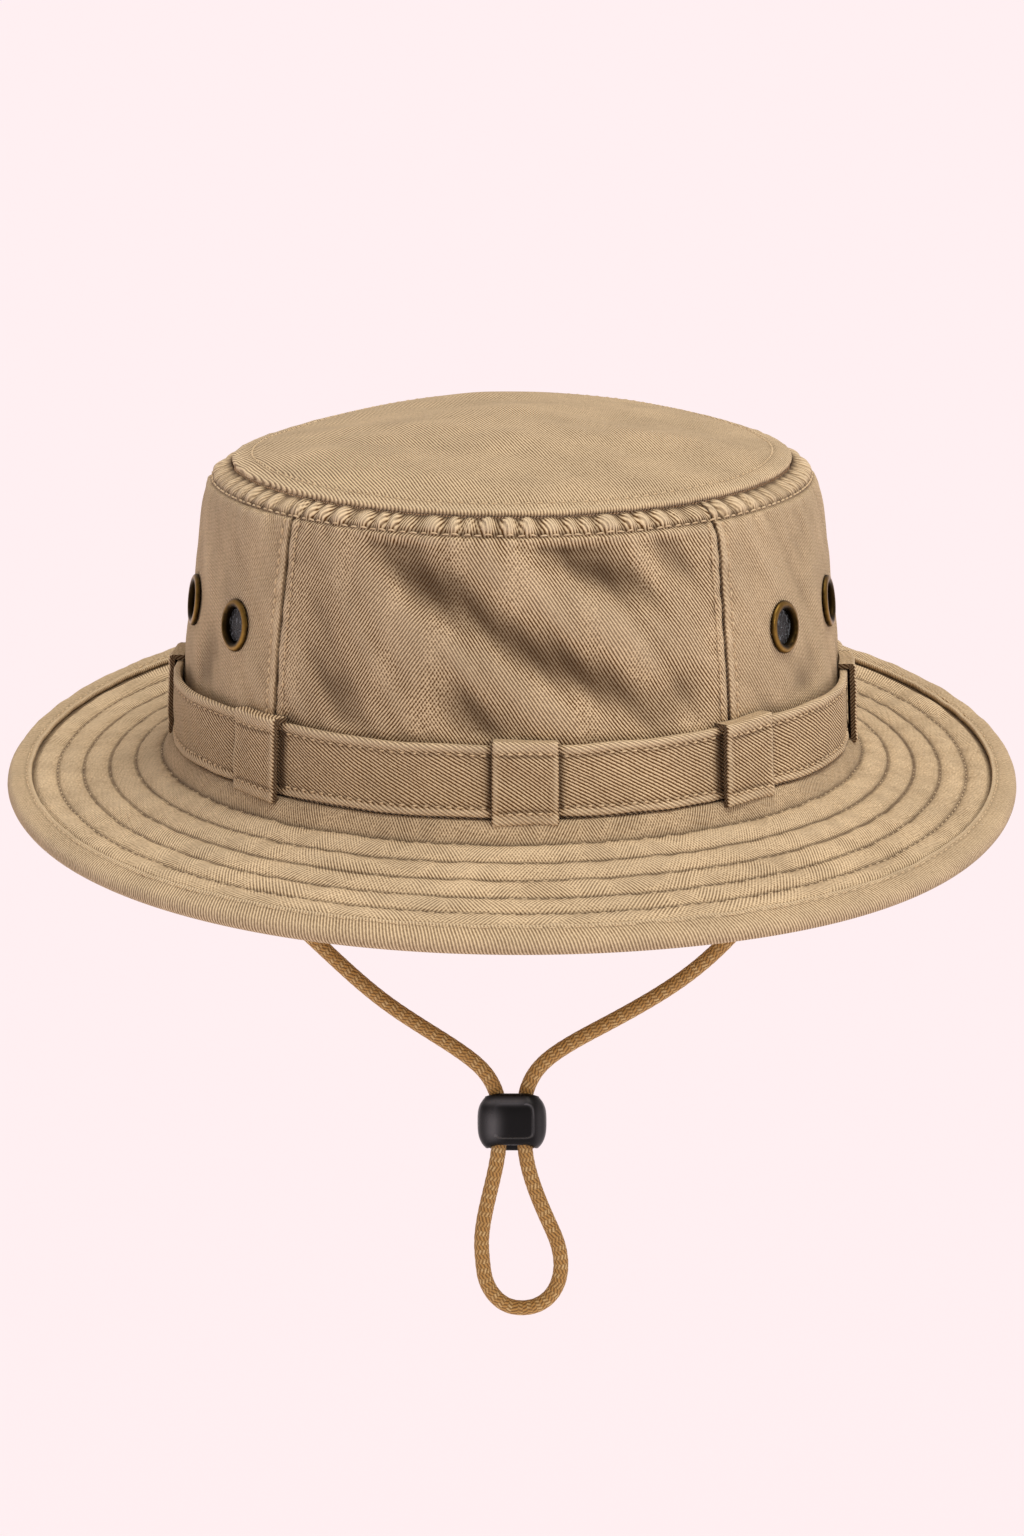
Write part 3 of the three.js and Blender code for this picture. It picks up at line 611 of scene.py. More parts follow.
@dataclass(frozen=True)
class Thread:
    """Spun polyester sewing thread, pale khaki, with a slight gloss along each stitch."""

    name: str = "sewing_thread"
    colour: str = "#EAD5B0"
    shadow: str = "#C4A57C"

    def material(self) -> bpy.types.Material:
        """Builds the material: two tones of one thread, mixed from stitch to stitch."""
        material, tree = blank_material(self.name)
        place = node(tree, "TexCoord").outputs["Object"]
        cloud = node(tree, "TexNoise", {"Vector": place, "Scale": 1 / (3 * MM), "Detail": 1.0})
        tone = node(tree, "Mix", {0: cloud.outputs[0], 6: linear(self.shadow), 7: linear(self.colour)},
                    data_type="RGBA")
        shader = node(tree, "BsdfPrincipled", {"Base Color": tone.outputs[2], "Roughness": 0.62})
        node(tree, "OutputMaterial", {0: shader.outputs[0]})
        return material


@dataclass(frozen=True)
class AntiqueBrass:
    """Brass, stamped, darkened in a bath and tumbled: brown in the recesses, golden on the rims."""

    name: str = "antique_brass"
    bright: str = "#A5813F"
    dark: str = "#2B200E"

    def material(self) -> bpy.types.Material:
        """Builds the material: the piece's wear value sets how golden and how smooth the metal is."""
        material, tree = blank_material(self.name)
        place = node(tree, "TexCoord").outputs["Object"]
        cloud = node(tree, "TexNoise", {"Vector": place, "Scale": 1 / (1.6 * MM), "Detail": 3.0})
        wear_and_shade = node(tree, "Attribute", attribute_name="wear")
        mixed = node(tree, "Math", {0: cloud.outputs[0], 1: 0.5, 2: wear_and_shade.outputs["Fac"]},
                     operation="MULTIPLY_ADD")
        share = node(tree, "MapRange", {0: mixed.outputs[0], 1: 0.4, 2: 1.3, 3: 0.0, 4: 1.0})
        metal = node(tree, "Mix", {0: share.outputs[0], 6: linear(self.dark), 7: linear(self.bright)},
                     data_type="RGBA")
        gloss = node(tree, "MapRange", {0: share.outputs[0], 1: 0.0, 2: 1.0, 3: 0.5, 4: 0.26})
        bump = node(tree, "Bump", {"Height": cloud.outputs[0], "Distance": 0.02 * MM, "Strength": 0.6})
        shader = node(tree, "BsdfPrincipled", {
            "Base Color": metal.outputs[2], "Metallic": 1.0, "Roughness": gloss.outputs[0],
            "Normal": bump.outputs[0],
        })
        node(tree, "OutputMaterial", {0: shader.outputs[0]})
        return material


@dataclass(frozen=True)
class KnitMesh:
    """Black polyester mesh, warp knitted: loops round deep holes, with a painted grey highlight on the
    loops.
    """

    name: str = "black_mesh"
    yarn_highlight: str = "#62676C"
    hole: str = "#060708"
    loop_size: float = 0.95

    def material(self) -> bpy.types.Material:
        """Builds the material: cells set the holes, and the ridges between them, the yarn, take a painted
        grey highlight.
        """
        material, tree = blank_material(self.name)
        place = node(tree, "TexCoord").outputs["Object"]
        cells = node(tree, "TexVoronoi", {"Vector": place, "Scale": 1 / (self.loop_size * MM),
                                          "Randomness": 0.8}, feature="F1")
        # Painted highlight: the yarn between the holes takes the grey, and its shape gives the bump.
        yarn_highlight = node(tree, "MapRange", {0: cells.outputs["Distance"], 1: 0.48, 2: 0.76, 3: 0.0, 4: 1.0})
        tone = node(tree, "Mix", {0: yarn_highlight.outputs[0], 6: linear(self.hole), 7: linear(self.yarn_highlight)},
                    data_type="RGBA")
        bump = node(tree, "Bump", {"Height": yarn_highlight.outputs[0], "Distance": 0.35 * MM, "Strength": 1.0})
        shader = node(tree, "BsdfPrincipled", {"Base Color": tone.outputs[2], "Roughness": 0.42,
                                               "Normal": bump.outputs[0]})
        node(tree, "OutputMaterial", {0: shader.outputs[0]})
        return material


@dataclass(frozen=True)
class BraidedCord:
    """Polyester cord, braided from flat golden brown yarns, with painted shade in the braid's grooves and
    pale flecks.
    """

    name: str = "braided_cord"
    pale: str = "#F4DA9E"
    middle: str = "#D0A158"
    groove_shade: str = "#543616"

    def material(self) -> bpy.types.Material:
        """Builds the material: the piece's crest value runs from painted shade in the grooves to the yarns'
        tops.
        """
        material, tree = blank_material(self.name)
        place = node(tree, "TexCoord").outputs["Object"]
        crest = node(tree, "Attribute", attribute_name="crest")
        fleck = node(tree, "Attribute", attribute_name="fleck")
        fibre = node(tree, "TexNoise", {"Vector": place, "Scale": 1 / (0.5 * MM), "Detail": 1.0})
        # Painted shade: the grooves between the yarns darken towards the shade colour.
        body = node(tree, "Mix", {0: crest.outputs["Fac"], 6: linear(self.groove_shade), 7: linear(self.middle)},
                    data_type="RGBA")
        tone = node(tree, "Mix", {0: fleck.outputs["Fac"], 6: body.outputs[2], 7: linear(self.pale)},
                    data_type="RGBA")
        bump = node(tree, "Bump", {"Height": fibre.outputs[0], "Distance": 0.06 * MM, "Strength": 0.7})
        shader = node(tree, "BsdfPrincipled", {
            "Base Color": tone.outputs[2], "Roughness": 0.62, "Specular IOR Level": 0.4,
            "Sheen Weight": 0.1, "Normal": bump.outputs[0],
        })
        node(tree, "OutputMaterial", {0: shader.outputs[0]})
        return material


@dataclass(frozen=True)
class SatinNylon:
    """Nylon, injection moulded in black with a fine spark-eroded texture, with painted highlights in grey.
    """

    name: str = "black_plastic"
    colour: str = "#030304"
    highlight_grey: str = "#66676A"

    def material(self) -> bpy.types.Material:
        """Builds the material: the piece's painted highlight value runs from the black to the grey of the
        highlights.
        """
        material, tree = blank_material(self.name)
        place = node(tree, "TexCoord").outputs["Object"]
        grain = node(tree, "TexNoise", {"Vector": place, "Scale": 1 / (0.25 * MM), "Detail": 2.0})
        cloud = node(tree, "TexNoise", {"Vector": place, "Scale": 1 / (4 * MM), "Detail": 2.0})
        gloss = node(tree, "MapRange", {0: cloud.outputs[0], 1: 0.3, 2: 0.7, 3: 0.26, 4: 0.34})
        bump = node(tree, "Bump", {"Height": grain.outputs[0], "Distance": 0.012 * MM, "Strength": 0.6})
        # Painted highlight: grey where the piece's value marks it.
        painted_highlight = node(tree, "Attribute", attribute_name="painted_highlight")
        tone = node(tree, "Mix", {0: painted_highlight.outputs["Fac"], 6: linear(self.colour), 7: linear(self.highlight_grey)},
                    data_type="RGBA")
        shader = node(tree, "BsdfPrincipled", {
            "Base Color": tone.outputs[2], "Roughness": gloss.outputs[0],
            "Specular IOR Level": 0.18, "Normal": bump.outputs[0],
        })
        node(tree, "OutputMaterial", {0: shader.outputs[0]})
        return material


def dress(
    piece: bpy.types.Object, material: bpy.types.Material, slot: str, *nodes: str,
) -> bpy.types.Object:
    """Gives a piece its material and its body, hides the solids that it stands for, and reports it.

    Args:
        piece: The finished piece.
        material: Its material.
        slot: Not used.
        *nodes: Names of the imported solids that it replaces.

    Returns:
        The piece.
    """
    piece.data.materials.clear()
    piece.data.materials.append(material)
    if nodes:
        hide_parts(*nodes)
    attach(piece, BODY)
    log.info("%s: %d faces", piece.name, len(piece.data.polygons))
    return piece


# Sub-assemblies

@dataclass
class Stitches:
    """Rows of sewing thread. Each stitch is a short bent roll whose two ends dive into the cloth."""

    form: HatForm
    radius: float = 0.26
    sides: int = 6
    stations: int = 5

    def row(
        self, path: Array, out: Array, pitch: float, fill: float = 0.72, lift: float = 0.1, jitter: int = 0,
    ) -> tuple[Array, list[Array]]:
        """Lays stitches along a path: a roll's centre line is the path, raised by half a sine wave.

        Args:
            path: Points of the path on the cloth.
            out: The cloth's outward direction at each point.
            pitch: Distance from one stitch to the next.
            fill: Share of the pitch that a stitch shows.
            lift: Height of the stitch's middle over the cloth.
            jitter: Start of the random draw that varies the stitches.

        Returns:
            The points and the faces.
        """
        run = np.concatenate([[0], np.cumsum(np.linalg.norm(np.diff(path, axis=0), axis=1))])
        count = max(int(run[-1] / pitch), 1)
        rng = np.random.default_rng(jitter)
        middle = (np.arange(count) + 0.5) * run[-1] / count + rng.uniform(-0.08, 0.08, count) * pitch
        half = fill * pitch / 2 * rng.uniform(0.85, 1.1, count)
        share = np.linspace(-1, 1, self.stations)
        at = middle[:, None] + half[:, None] * share
        centre = np.stack([np.interp(at, run, path[:, c]) for c in range(3)], -1)
        normal = unit(np.stack([np.interp(at, run, out[:, c]) for c in range(3)], -1))
        ahead = unit(np.gradient(centre, axis=1))
        aside = unit(np.cross(ahead, normal))
        arch = np.cos(np.pi / 2 * share) ** 0.6
        centre = centre + normal * ((lift + self.radius) * arch - self.radius * 0.9)[None, :, None]
        turn = np.arange(self.sides) * TAU / self.sides
        thick = self.radius * (0.55 + 0.45 * arch)[None, :, None, None]
        ring = aside[:, :, None] * np.cos(turn)[:, None] + normal[:, :, None] * np.sin(turn)[:, None]
        points = centre[:, :, None] + ring * thick
        quads, _ = grid_faces(self.stations, self.sides, False, True)
        size = self.stations * self.sides
        first = np.arange(count) * size
        caps = np.stack([np.arange(self.sides), size - 1 - np.arange(self.sides)])
        sides = (quads[None] + first[:, None, None]).reshape(-1, 4)
        ends = (caps[None] + first[:, None, None]).reshape(-1, self.sides)
        return points.reshape(-1, 3), [sides[:, ::-1], ends]

    def piece(self, name: str, rows: list[tuple[Array, list[Array]]]) -> bpy.types.Object:
        """Joins rows of stitches into one piece.

        Args:
            name: The piece's name.
            rows: Points and faces of each row.

        Returns:
            The object.
        """
        starts = np.cumsum([0] + [len(points) for points, _ in rows])
        sides = np.concatenate([faces[0] + start for (_, faces), start in zip(rows, starts)])
        ends = np.concatenate([faces[1] + start for (_, faces), start in zip(rows, starts)])
        return make_piece(name, np.concatenate([points for points, _ in rows]), [sides, ends])


@dataclass
class Crown:
    """The crown: four wall panels with felled seams, gathers below the top, and the top panel."""

    form: HatForm
    stitches: Stitches
    cell: float = 0.84
    fell_width: float = 2.8
    fell_step: float = 0.55
    seam_gap: float = 0.3
    gather_depth: float = 1.5
    gather_count: int = 98
    top_roll: float = 1.9
    top_row_inset: float = 5.4
    top_columns: int = 320
    dome_rise: float = 7.4
    vent_height: float = 40.0
    vent_hole: float = 5.5
    steepness: float = 54.0

    seams: ClassVar[dict[str, float]] = {
        "front_left": -43.9, "front_right": 39.5, "back_right": 138.0, "back_left": 222.0,
    }
    vents: ClassVar[dict[str, float]] = {
        "left_front": -56.3, "left_side": -76.7, "right_front": 54.8, "right_side": 75.8,
    }

    # Angle, height, length, width, lean, depth: angle and lean in degrees, sizes in shares of the height
    dents: ClassVar[Array] = np.array([
        [-14, .785, .20, .070, -34, .030], [15, .84, .20, .062, -26, .028], [30, .86, .10, .055, -40, .018],
        [11, .50, .23, .066, -28, .028], [-31, .40, .11, .075, -40, .022], [-7, .37, .12, .065, -30, .018],
        [31, .40, .08, .060, -30, .014], [-35, .64, .13, .060, -60, .012],
        [-67, .38, .10, .070, 70, .018], [-92, .70, .22, .070, 85, .018], [64, .76, .12, .080, 75, .012],
        [62, .34, .10, .070, 20, .014], [103, .60, .20, .080, 70, .022], [158, .66, .20, .080, 30, .026],
        [-166, .74, .16, .080, -30, .024], [-150, .42, .14, .070, -10, .022],
        [-118, .56, .18, .080, 65, .022],
    ])

    def unrolled(self, t: Array) -> Array:
        """Distance along the opening's oval, cut open at the back left seam."""
        cut = self.seams["back_left"] - 360
        return self.form.arc((t - cut) % 360 + cut)

    def folds(self, t: Array, z: Array) -> Array:
        """Depth of the wall's dents: a sum of long bells, turned by each dent's lean.

        Args:
            t: Angles.
            z: Heights.

        Returns:
            The depths.
        """
        form = self.form
        foot = form.crown_height - form.gather_height
        depth = np.zeros(np.broadcast(t, z).shape)
        for angle, height, length, width, lean, sink in self.dents:
            across = np.radians(angle_gap(t, angle)) * form.crown_half_width / form.crown_height
            up = z / form.crown_height - height
            sine, cosine = np.sin(np.radians(lean)), np.cos(np.radians(lean))
            along = (across * cosine + up * sine) / length
            aside = (up * cosine - across * sine) / width
            depth += sink * form.crown_height * np.exp(-0.5 * (along ** 2 + aside ** 2))
        clear = smooth(form.band_high, form.band_high + form.gather_height, z)
        return depth * clear * (1 - smooth(foot - form.gather_height, foot, z))

    def pleats(self, t: Array, z: Array) -> Array:
        """Height of the gathers: a wave with uneven spacing, pinched at its stitch row and at the top.

        Args:
            t: Angles.
            z: Heights.

        Returns:
            The heights, which fade out in short puckers below the stitch row.
        """
        form = self.form
        foot = form.crown_height - form.gather_height
        spot = form.oval(1.0, 1.0, t)
        spot = np.concatenate([spot, np.zeros(spot.shape[:-1] + (1,))], -1)
        share = (z - foot) / form.gather_height
        phase = np.radians(t) * self.gather_count + 1.2 * ripples(spot, 0.2, 3) + 0.5 * share
        wave = 0.5 + 0.5 * np.cos(phase)
        size = np.clip(0.85 + 0.35 * ripples(spot, 0.11, 4), 0.3, 1.3)
        size = size * (0.5 + 0.5 * bell(angle_gap(t, 0), 55))
        strip = np.sin(np.pi * np.clip(share, 0.04, 0.96)) ** 0.5 * (share > 0)
        pucker = np.exp(-np.clip(-share, 0, None) * 1.1) * smooth(0.0, 0.35, -share) * 0.42
        return self.gather_depth * size * wave * (strip + pucker * (share <= 0))

    def relief(self, t: Array, z: Array) -> Array:
        """How far the wall's cloth stands out: gathers, small creases and seam puckers, less the folds.

        Args:
            t: Angles.
            z: Heights.

        Returns:
            The distances.
        """
        form = self.form
        t, z = np.broadcast_arrays(t, z)
        foot = form.crown_height - form.gather_height
        spot = form.wall_point(t, z, 0.0)
        calm = np.ones(t.shape)
        for angle in self.vents.values():
            away = np.hypot(form.arc(t) - form.arc(angle), z - self.vent_height)
            calm = calm * (1 - bell(away, 6.5))
        fade = calm * (1 - smooth(foot - 2, foot, z)) * smooth(form.band_high - 8, form.band_high + 2, z)
        s = self.unrolled(t)
        slope = np.stack([(s - z) * 0.22, (s + z) * 0.7, 0 * s], -1)
        creases = 0.26 * ripples(slope, 19, 11) + 0.10 * ripples(slope, 7, 12)
        out = creases * fade - self.folds(t, z) + self.pleats(t, z)
        for angle in self.seams.values():
            aside = form.arc(angle + angle_gap(t, angle)) - form.arc(angle)
            ripple = ripples(spot, 4.5, 13) * 0.16 * bell(aside, 3.5)
            out = out + ripple * fade - 0.32 * bell(aside, 0.5) * (z < foot)
        return out - 0.4 * bell(z - foot - 0.2, 0.45)

    def turned(self, s: Array, z: Array) -> Array:
        """Where the crossing ribs take over: left of a leaning line on the front, in soft-edged patches."""
        aside = s + 24 - 0.25 * (z - 25)
        patches = 0.3 * ripples(np.stack([s, z, 0 * s], -1), 15, 25)
        return np.clip(smooth(11, -11, aside) * bell(np.clip(-50 - s, 0, None), 20) + patches - 0.05, 0, 1)

    def panel(self, name: str, start: float, end: float, felled: bool, slant: Slant) -> bpy.types.Object:
        """Builds one wall panel from two grids in angle and height, with holes for its vents.

        Args:
            name: The piece's name.
            start: Angle of its first seam.
            end: Angle of its last seam.
            felled: True if its edges are folded over the seams.
            slant: How its twill lies.

        Returns:
            The object.
        """
        form = self.form
        foot = form.crown_height - form.gather_height
        arcs = form.arc(np.array([start, end])) + np.array([0.5, -0.5]) * self.seam_gap
        edge = np.linspace(0, self.fell_width + 1.2, 13)[:-1]
        plain = np.linspace(arcs[0] + self.fell_width + 1.2, arcs[1] - self.fell_width - 1.2,
                            int((arcs[1] - arcs[0]) / self.cell))
        along = np.concatenate([arcs[0] + edge, plain, (arcs[1] - edge)[::-1]])
        heights = np.concatenate([
            np.linspace(-form.crown_tuck, form.band_high - 4, 9)[:-1],
            np.arange(form.band_high - 4, foot - 6, self.cell),
            np.arange(foot - 6, form.crown_height, 0.36), [form.crown_height],
        ])
        s, z = np.meshgrid(along, heights)
        for angle in self.vents.values():
            if start < angle < end:
                s, z = self.shape_hole(s, z, float(form.arc(angle)))
        t = form.angle_at(s)
        relief = self.relief(t, z)
        fell = np.zeros(s.shape)
        if felled:
            side = np.minimum(s - arcs[0], arcs[1] - s)
            fell = self.fell_step * (1 - smooth(self.fell_width - 0.3, self.fell_width + 0.4, side))
            fell = fell * smooth(form.band_high - 1, form.band_high, z) * (1 - smooth(foot - 1, foot, z))
        outer = form.wall_point(t, z, relief + fell)
        inner = form.wall_point(t, z, -form.cloth_wall - self.folds(t, z))
        faces, _ = grid_faces(*s.shape, False, False)
        centre_s = s.ravel()[faces].mean(1)
        centre_z = z.ravel()[faces].mean(1)
        kept = np.ones(len(faces), bool)
        for angle in self.vents.values():
            kept &= np.hypot(centre_s - form.arc(angle), centre_z - self.vent_height) > self.vent_hole - 0.1
        # Painted shade and painted highlight of the wall, kept as a value on each point.
        painted_shade = self.paint_shade(t, z, relief)
        weave = weave_lines(s, z - 0.6 * relief, self.steepness, slant)
        return walled_piece(name, outer.reshape(-1, 3), inner.reshape(-1, 3), faces[kept], weave,
                            {"painted_shade": painted_shade, "turned": self.turned(s, z)})

    def shape_hole(self, s: Array, z: Array, at: float) -> tuple[Array, Array]:
        """Draws the grid's points near a vent onto its round hole: those close to it move to its edge."""
        away = np.hypot(s - at, z - self.vent_height)
        near = np.abs(away - self.vent_hole) < 0.55 * self.cell
        scale = np.where(near, self.vent_hole / np.maximum(away, 1e-6), 1.0)
        return at + (s - at) * scale, self.vent_height + (z - self.vent_height) * scale

    def paint_shade(self, t: Array, z: Array, relief: Array) -> Array:
        """Painted shade of each place: the relief averaged round it, less the relief itself, plus the
        folds.

        Args:
            t: Angles.
            z: Heights.
            relief: The wall's relief on the grid.

        Returns:
            Values from about -1, a painted highlight on ridges, to 1, painted shade in deep hollows.
        """
        wide = np.pad(relief, 6, mode="edge")
        size = relief.shape
        mean = sum(wide[6 + i:6 + i + size[0], 6 + j:6 + j + size[1]]
                   for i, j in ((-6, 0), (6, 0), (0, -6), (0, 6), (-4, -4), (4, 4), (-4, 4), (4, -4))) / 8
        far = 20
        broad = np.pad(relief, far, mode="edge")
        swell = sum(broad[far + i:far + i + size[0], far + j:far + j + size[1]]
                    for i, j in ((-far, 0), (far, 0), (0, -far), (0, far))) / 4
        foot = self.form.crown_height - self.form.gather_height
        # Painted shade along each seam and beside its felled edge, and a painted highlight just beside the
        # seam.
        seam = np.zeros(size)
        for angle in self.seams.values():
            aside = self.form.arc(angle + angle_gap(t, angle)) - self.form.arc(angle)
            seam = seam + 0.9 * bell(aside, 0.3) + 0.45 * bell(np.abs(aside) - self.fell_width - 0.3, 0.35)
            seam = seam - 0.4 * bell(np.abs(aside) - 1.1, 0.5)
        # Painted shade along the gathers' stitch row and at the top edge under the top panel's roll, and a
        # painted shadow on the wall under the band.
        ring = 0.6 * bell(z - foot - 0.2, 0.4) + 0.9 * bell(z - self.form.crown_height, 0.35)
        under = 0.45 * (1 - smooth(self.form.band_high, self.form.band_high + 4, z))
        # Painted shade in the creases, paler on their ridges as a painted highlight.
        near = 0.8 * (mean - relief) + 0.16 * np.clip(swell - relief, -1.5, 1.5)
        # Painted shade in the gathers' valleys and the puckers below them, and in the dents, strongest at
        # the front.
        wave = self.pleats(t, z) / self.gather_depth
        pucker = 0.25 * (0.2 - wave) * smooth(foot - 7, foot, z)
        strip = np.where(z > foot + 0.3, 0.65 * (0.45 - wave), pucker)
        strip = strip * (0.6 + 0.4 * bell(angle_gap(t, 0), 55))
        dents = (0.06 + 0.2 * bell(angle_gap(t, 0), 30)) * self.folds(t, z)
        return np.clip(near + dents + seam + ring + under + strip - 0.1, -1, 1)

    def top_height(self, share: Array, t: Array) -> Array:
        """Height of the top panel: a low dome that falls as the square of the way out, with soft folds.

        Args:
            share: Way out from the centre, 1 at the seam.
            t: Angles.

        Returns:
            The heights.
        """
        form = self.form
        x = share * np.sin(np.radians(t))
        y = -share * np.cos(np.radians(t))
        flat = np.stack([x * form.seam_half_width, y * form.seam_half_length, 0 * x], -1)
        rise = self.dome_rise * (1 - share ** 2)
        rise = rise + (0.5 * ripples(flat, 42, 21) + 0.16 * ripples(flat, 13, 22)) * (1 - share ** 4)
        groove = 0.22 * bell((1 - share) * form.seam_half_width - self.top_row_inset, 0.55)
        hang = form.droop(t, form.crown_height) * smooth(0.0, 0.75, share)
        return form.crown_height + self.top_roll + rise - groove - hang

    def top_panel(self) -> bpy.types.Object:
        """Builds the top panel: rings from the dome's middle out round the rolled edge and back below.

        The section is the dome's line, half a circle at the edge and the dome's line again, lower by
        the cloth's wall. Both middles are closed with a fan.

        Returns:
            The object.
        """
        form = self.form
        columns = self.top_columns
        t = np.arange(columns) * 360 / columns
        roll = np.linspace(0, np.pi, 15)
        above = np.linspace(form.seam_half_width - 2.5, 3.4, 92)
        below = np.concatenate([[2.6, 4.0], np.linspace(6.0, form.seam_half_width - 2.5, 40)])
        inset = np.concatenate([above, 1.55 - 1.4 * np.sin(roll), below])[:, None]
        drop = np.concatenate([0 * above, self.top_roll / 2 * (1 - np.cos(roll)), 0 * below])[:, None]
        lower = (np.arange(len(inset)) >= len(above) + len(roll))[:, None]
        blend = smooth(4.4, 1.2, inset) * ~lower
        grid_t = np.broadcast_to(t, (len(inset), columns))
        dome = self.top_height(np.broadcast_to(1 - inset / form.seam_half_width, grid_t.shape), grid_t)
        seat = form.crown_height - 0.15 - form.droop(grid_t, form.crown_height)
        bead = 0.08 * ripples(form.wall_point(grid_t, form.crown_height, 0.0), 6, 24) * blend
        upper = dome * (1 - blend) + (seat + self.top_roll - drop + 0.2) * blend + bead
        height = np.where(lower, np.maximum(dome - form.cloth_wall, seat), upper)
        centred = smooth(8, 45, inset)
        stretch = form.seam_half_length / form.seam_half_width - 1
        long = form.seam_half_length - inset * (1 + centred * stretch)
        flat = form.oval(form.seam_half_width - inset, long, grid_t)
        outer = np.concatenate([flat, height[..., None]], -1)
        pole = np.array([[0, 0, outer[0, :, 2].mean() + 0.02], [0, 0, outer[-1, :, 2].mean()]])
        faces, _ = grid_faces(*grid_t.shape, False, True)
        ring = np.arange(columns)
        after = (ring + 1) % columns
        last = (len(inset) - 1) * columns
        kinds = [
            faces[:, ::-1], np.stack([ring, after, np.full(columns, outer[..., 0].size)], -1),
            np.stack([last + after, last + ring, np.full(columns, outer[..., 0].size + 1)], -1),
        ]
        points = np.concatenate([outer.reshape(-1, 3), pole])
        weave = weave_lines(points[:, 0], points[:, 1], 74, Slant.DOWN_RIGHT)
        # Painted shade in the stitch row's groove and on the underside of the rolled edge. Round the roll's
        # top the cloth is paler, a painted highlight.
        mark = 0.25 * bell(inset - self.top_row_inset, 0.6) - 0.3 * bell(inset - 1.2, 1.0)
        mark = mark + 0.9 * smooth(self.top_roll * 0.7, self.top_roll * 0.95, drop)
        painted_shade = np.append(np.broadcast_to(mark, grid_t.shape).ravel(), [0, 0])
        corner = np.concatenate([kind.ravel() for kind in kinds])
        return make_piece("top_panel_cloth", points, kinds, weave[corner], {"painted_shade": painted_shade})

    def seam_stitches(self) -> bpy.types.Object:
        """Sews the crown: beside each upright seam, round the gathers' foot and round the top's edge.

        Returns:
            The object.
        """
        form = self.form
        foot = form.crown_height - form.gather_height
        rows = []
        z = np.linspace(form.band_high + 0.5, foot - 0.5, 160)
        for k, angle in enumerate(self.seams.values()):
            outwards = 1 if k % 2 else -1
            for step, rise in ((self.fell_width - 0.1, self.fell_step), (-2.7, 0.0)):
                felled = form.arc(angle) + outwards * step
                t = form.angle_at(np.full(z.shape, felled))
                path = form.wall_point(t, z, self.relief(t, z) + rise)
                rows.append(self.stitches.row(path, form.wall_normal(t, z), 2.5, 0.74, 0.1, 30 + k))
        t = np.linspace(-180, 180, 1500)
        level = np.full(t.shape, foot + 0.2)
        path = form.wall_point(t, level, self.relief(t, level) + 0.05)
        rows.append(self.stitches.row(path, form.wall_normal(t, level), 2.9, 0.72, 0.12, 41))
        inset = self.top_row_inset
        share = np.full(t.shape, 1 - inset / form.seam_half_width)
        height = self.top_height(share, t)
        flat = form.oval(form.seam_half_width - inset, form.seam_half_length - inset, t)
        path = np.concatenate([flat, height[:, None]], -1)
        up = np.broadcast_to(np.array([0, 0, 1.0]), path.shape)
        rows.append(self.stitches.row(path, up, 2.9, 0.72, 0.08, 42))
        return self.stitches.piece("crown_stitching", rows)

    def build(
        self, twill: bpy.types.Material, paler: bpy.types.Material, top: bpy.types.Material,
        thread: bpy.types.Material,
    ) -> list[bpy.types.Object]:
        """Builds and dresses the crown.

        Args:
            twill: Material of the front and back panels.
            paler: Material of the side panels, a paler copy with less contrast.
            top: Material of the top panel.
            thread: Material of the stitches.

        Returns:
            The pieces.
        """
        seams = self.seams
        panels = [
            ("front", seams["front_left"], seams["front_right"], False, twill),
            ("right", seams["front_right"], seams["back_right"], True, paler),
            ("back", seams["back_right"], seams["back_left"], False, twill),
            ("left", seams["back_left"] - 360, seams["front_left"], True, paler),
        ]
        made = []
        for name, start, end, felled, cloth in panels:
            slant = Slant.DOWN_LEFT if name == "left" else Slant.DOWN_RIGHT
            piece = self.panel(f"{name}_panel_cloth", start, end, felled, slant)
            made.append(dress(piece, cloth, "twill", f"crown_{name}_panel"))
        made.append(dress(self.top_panel(), top, "twill", "crown_top_panel"))
        made.append(dress(self.seam_stitches(), thread, "twill_trim"))
        return made


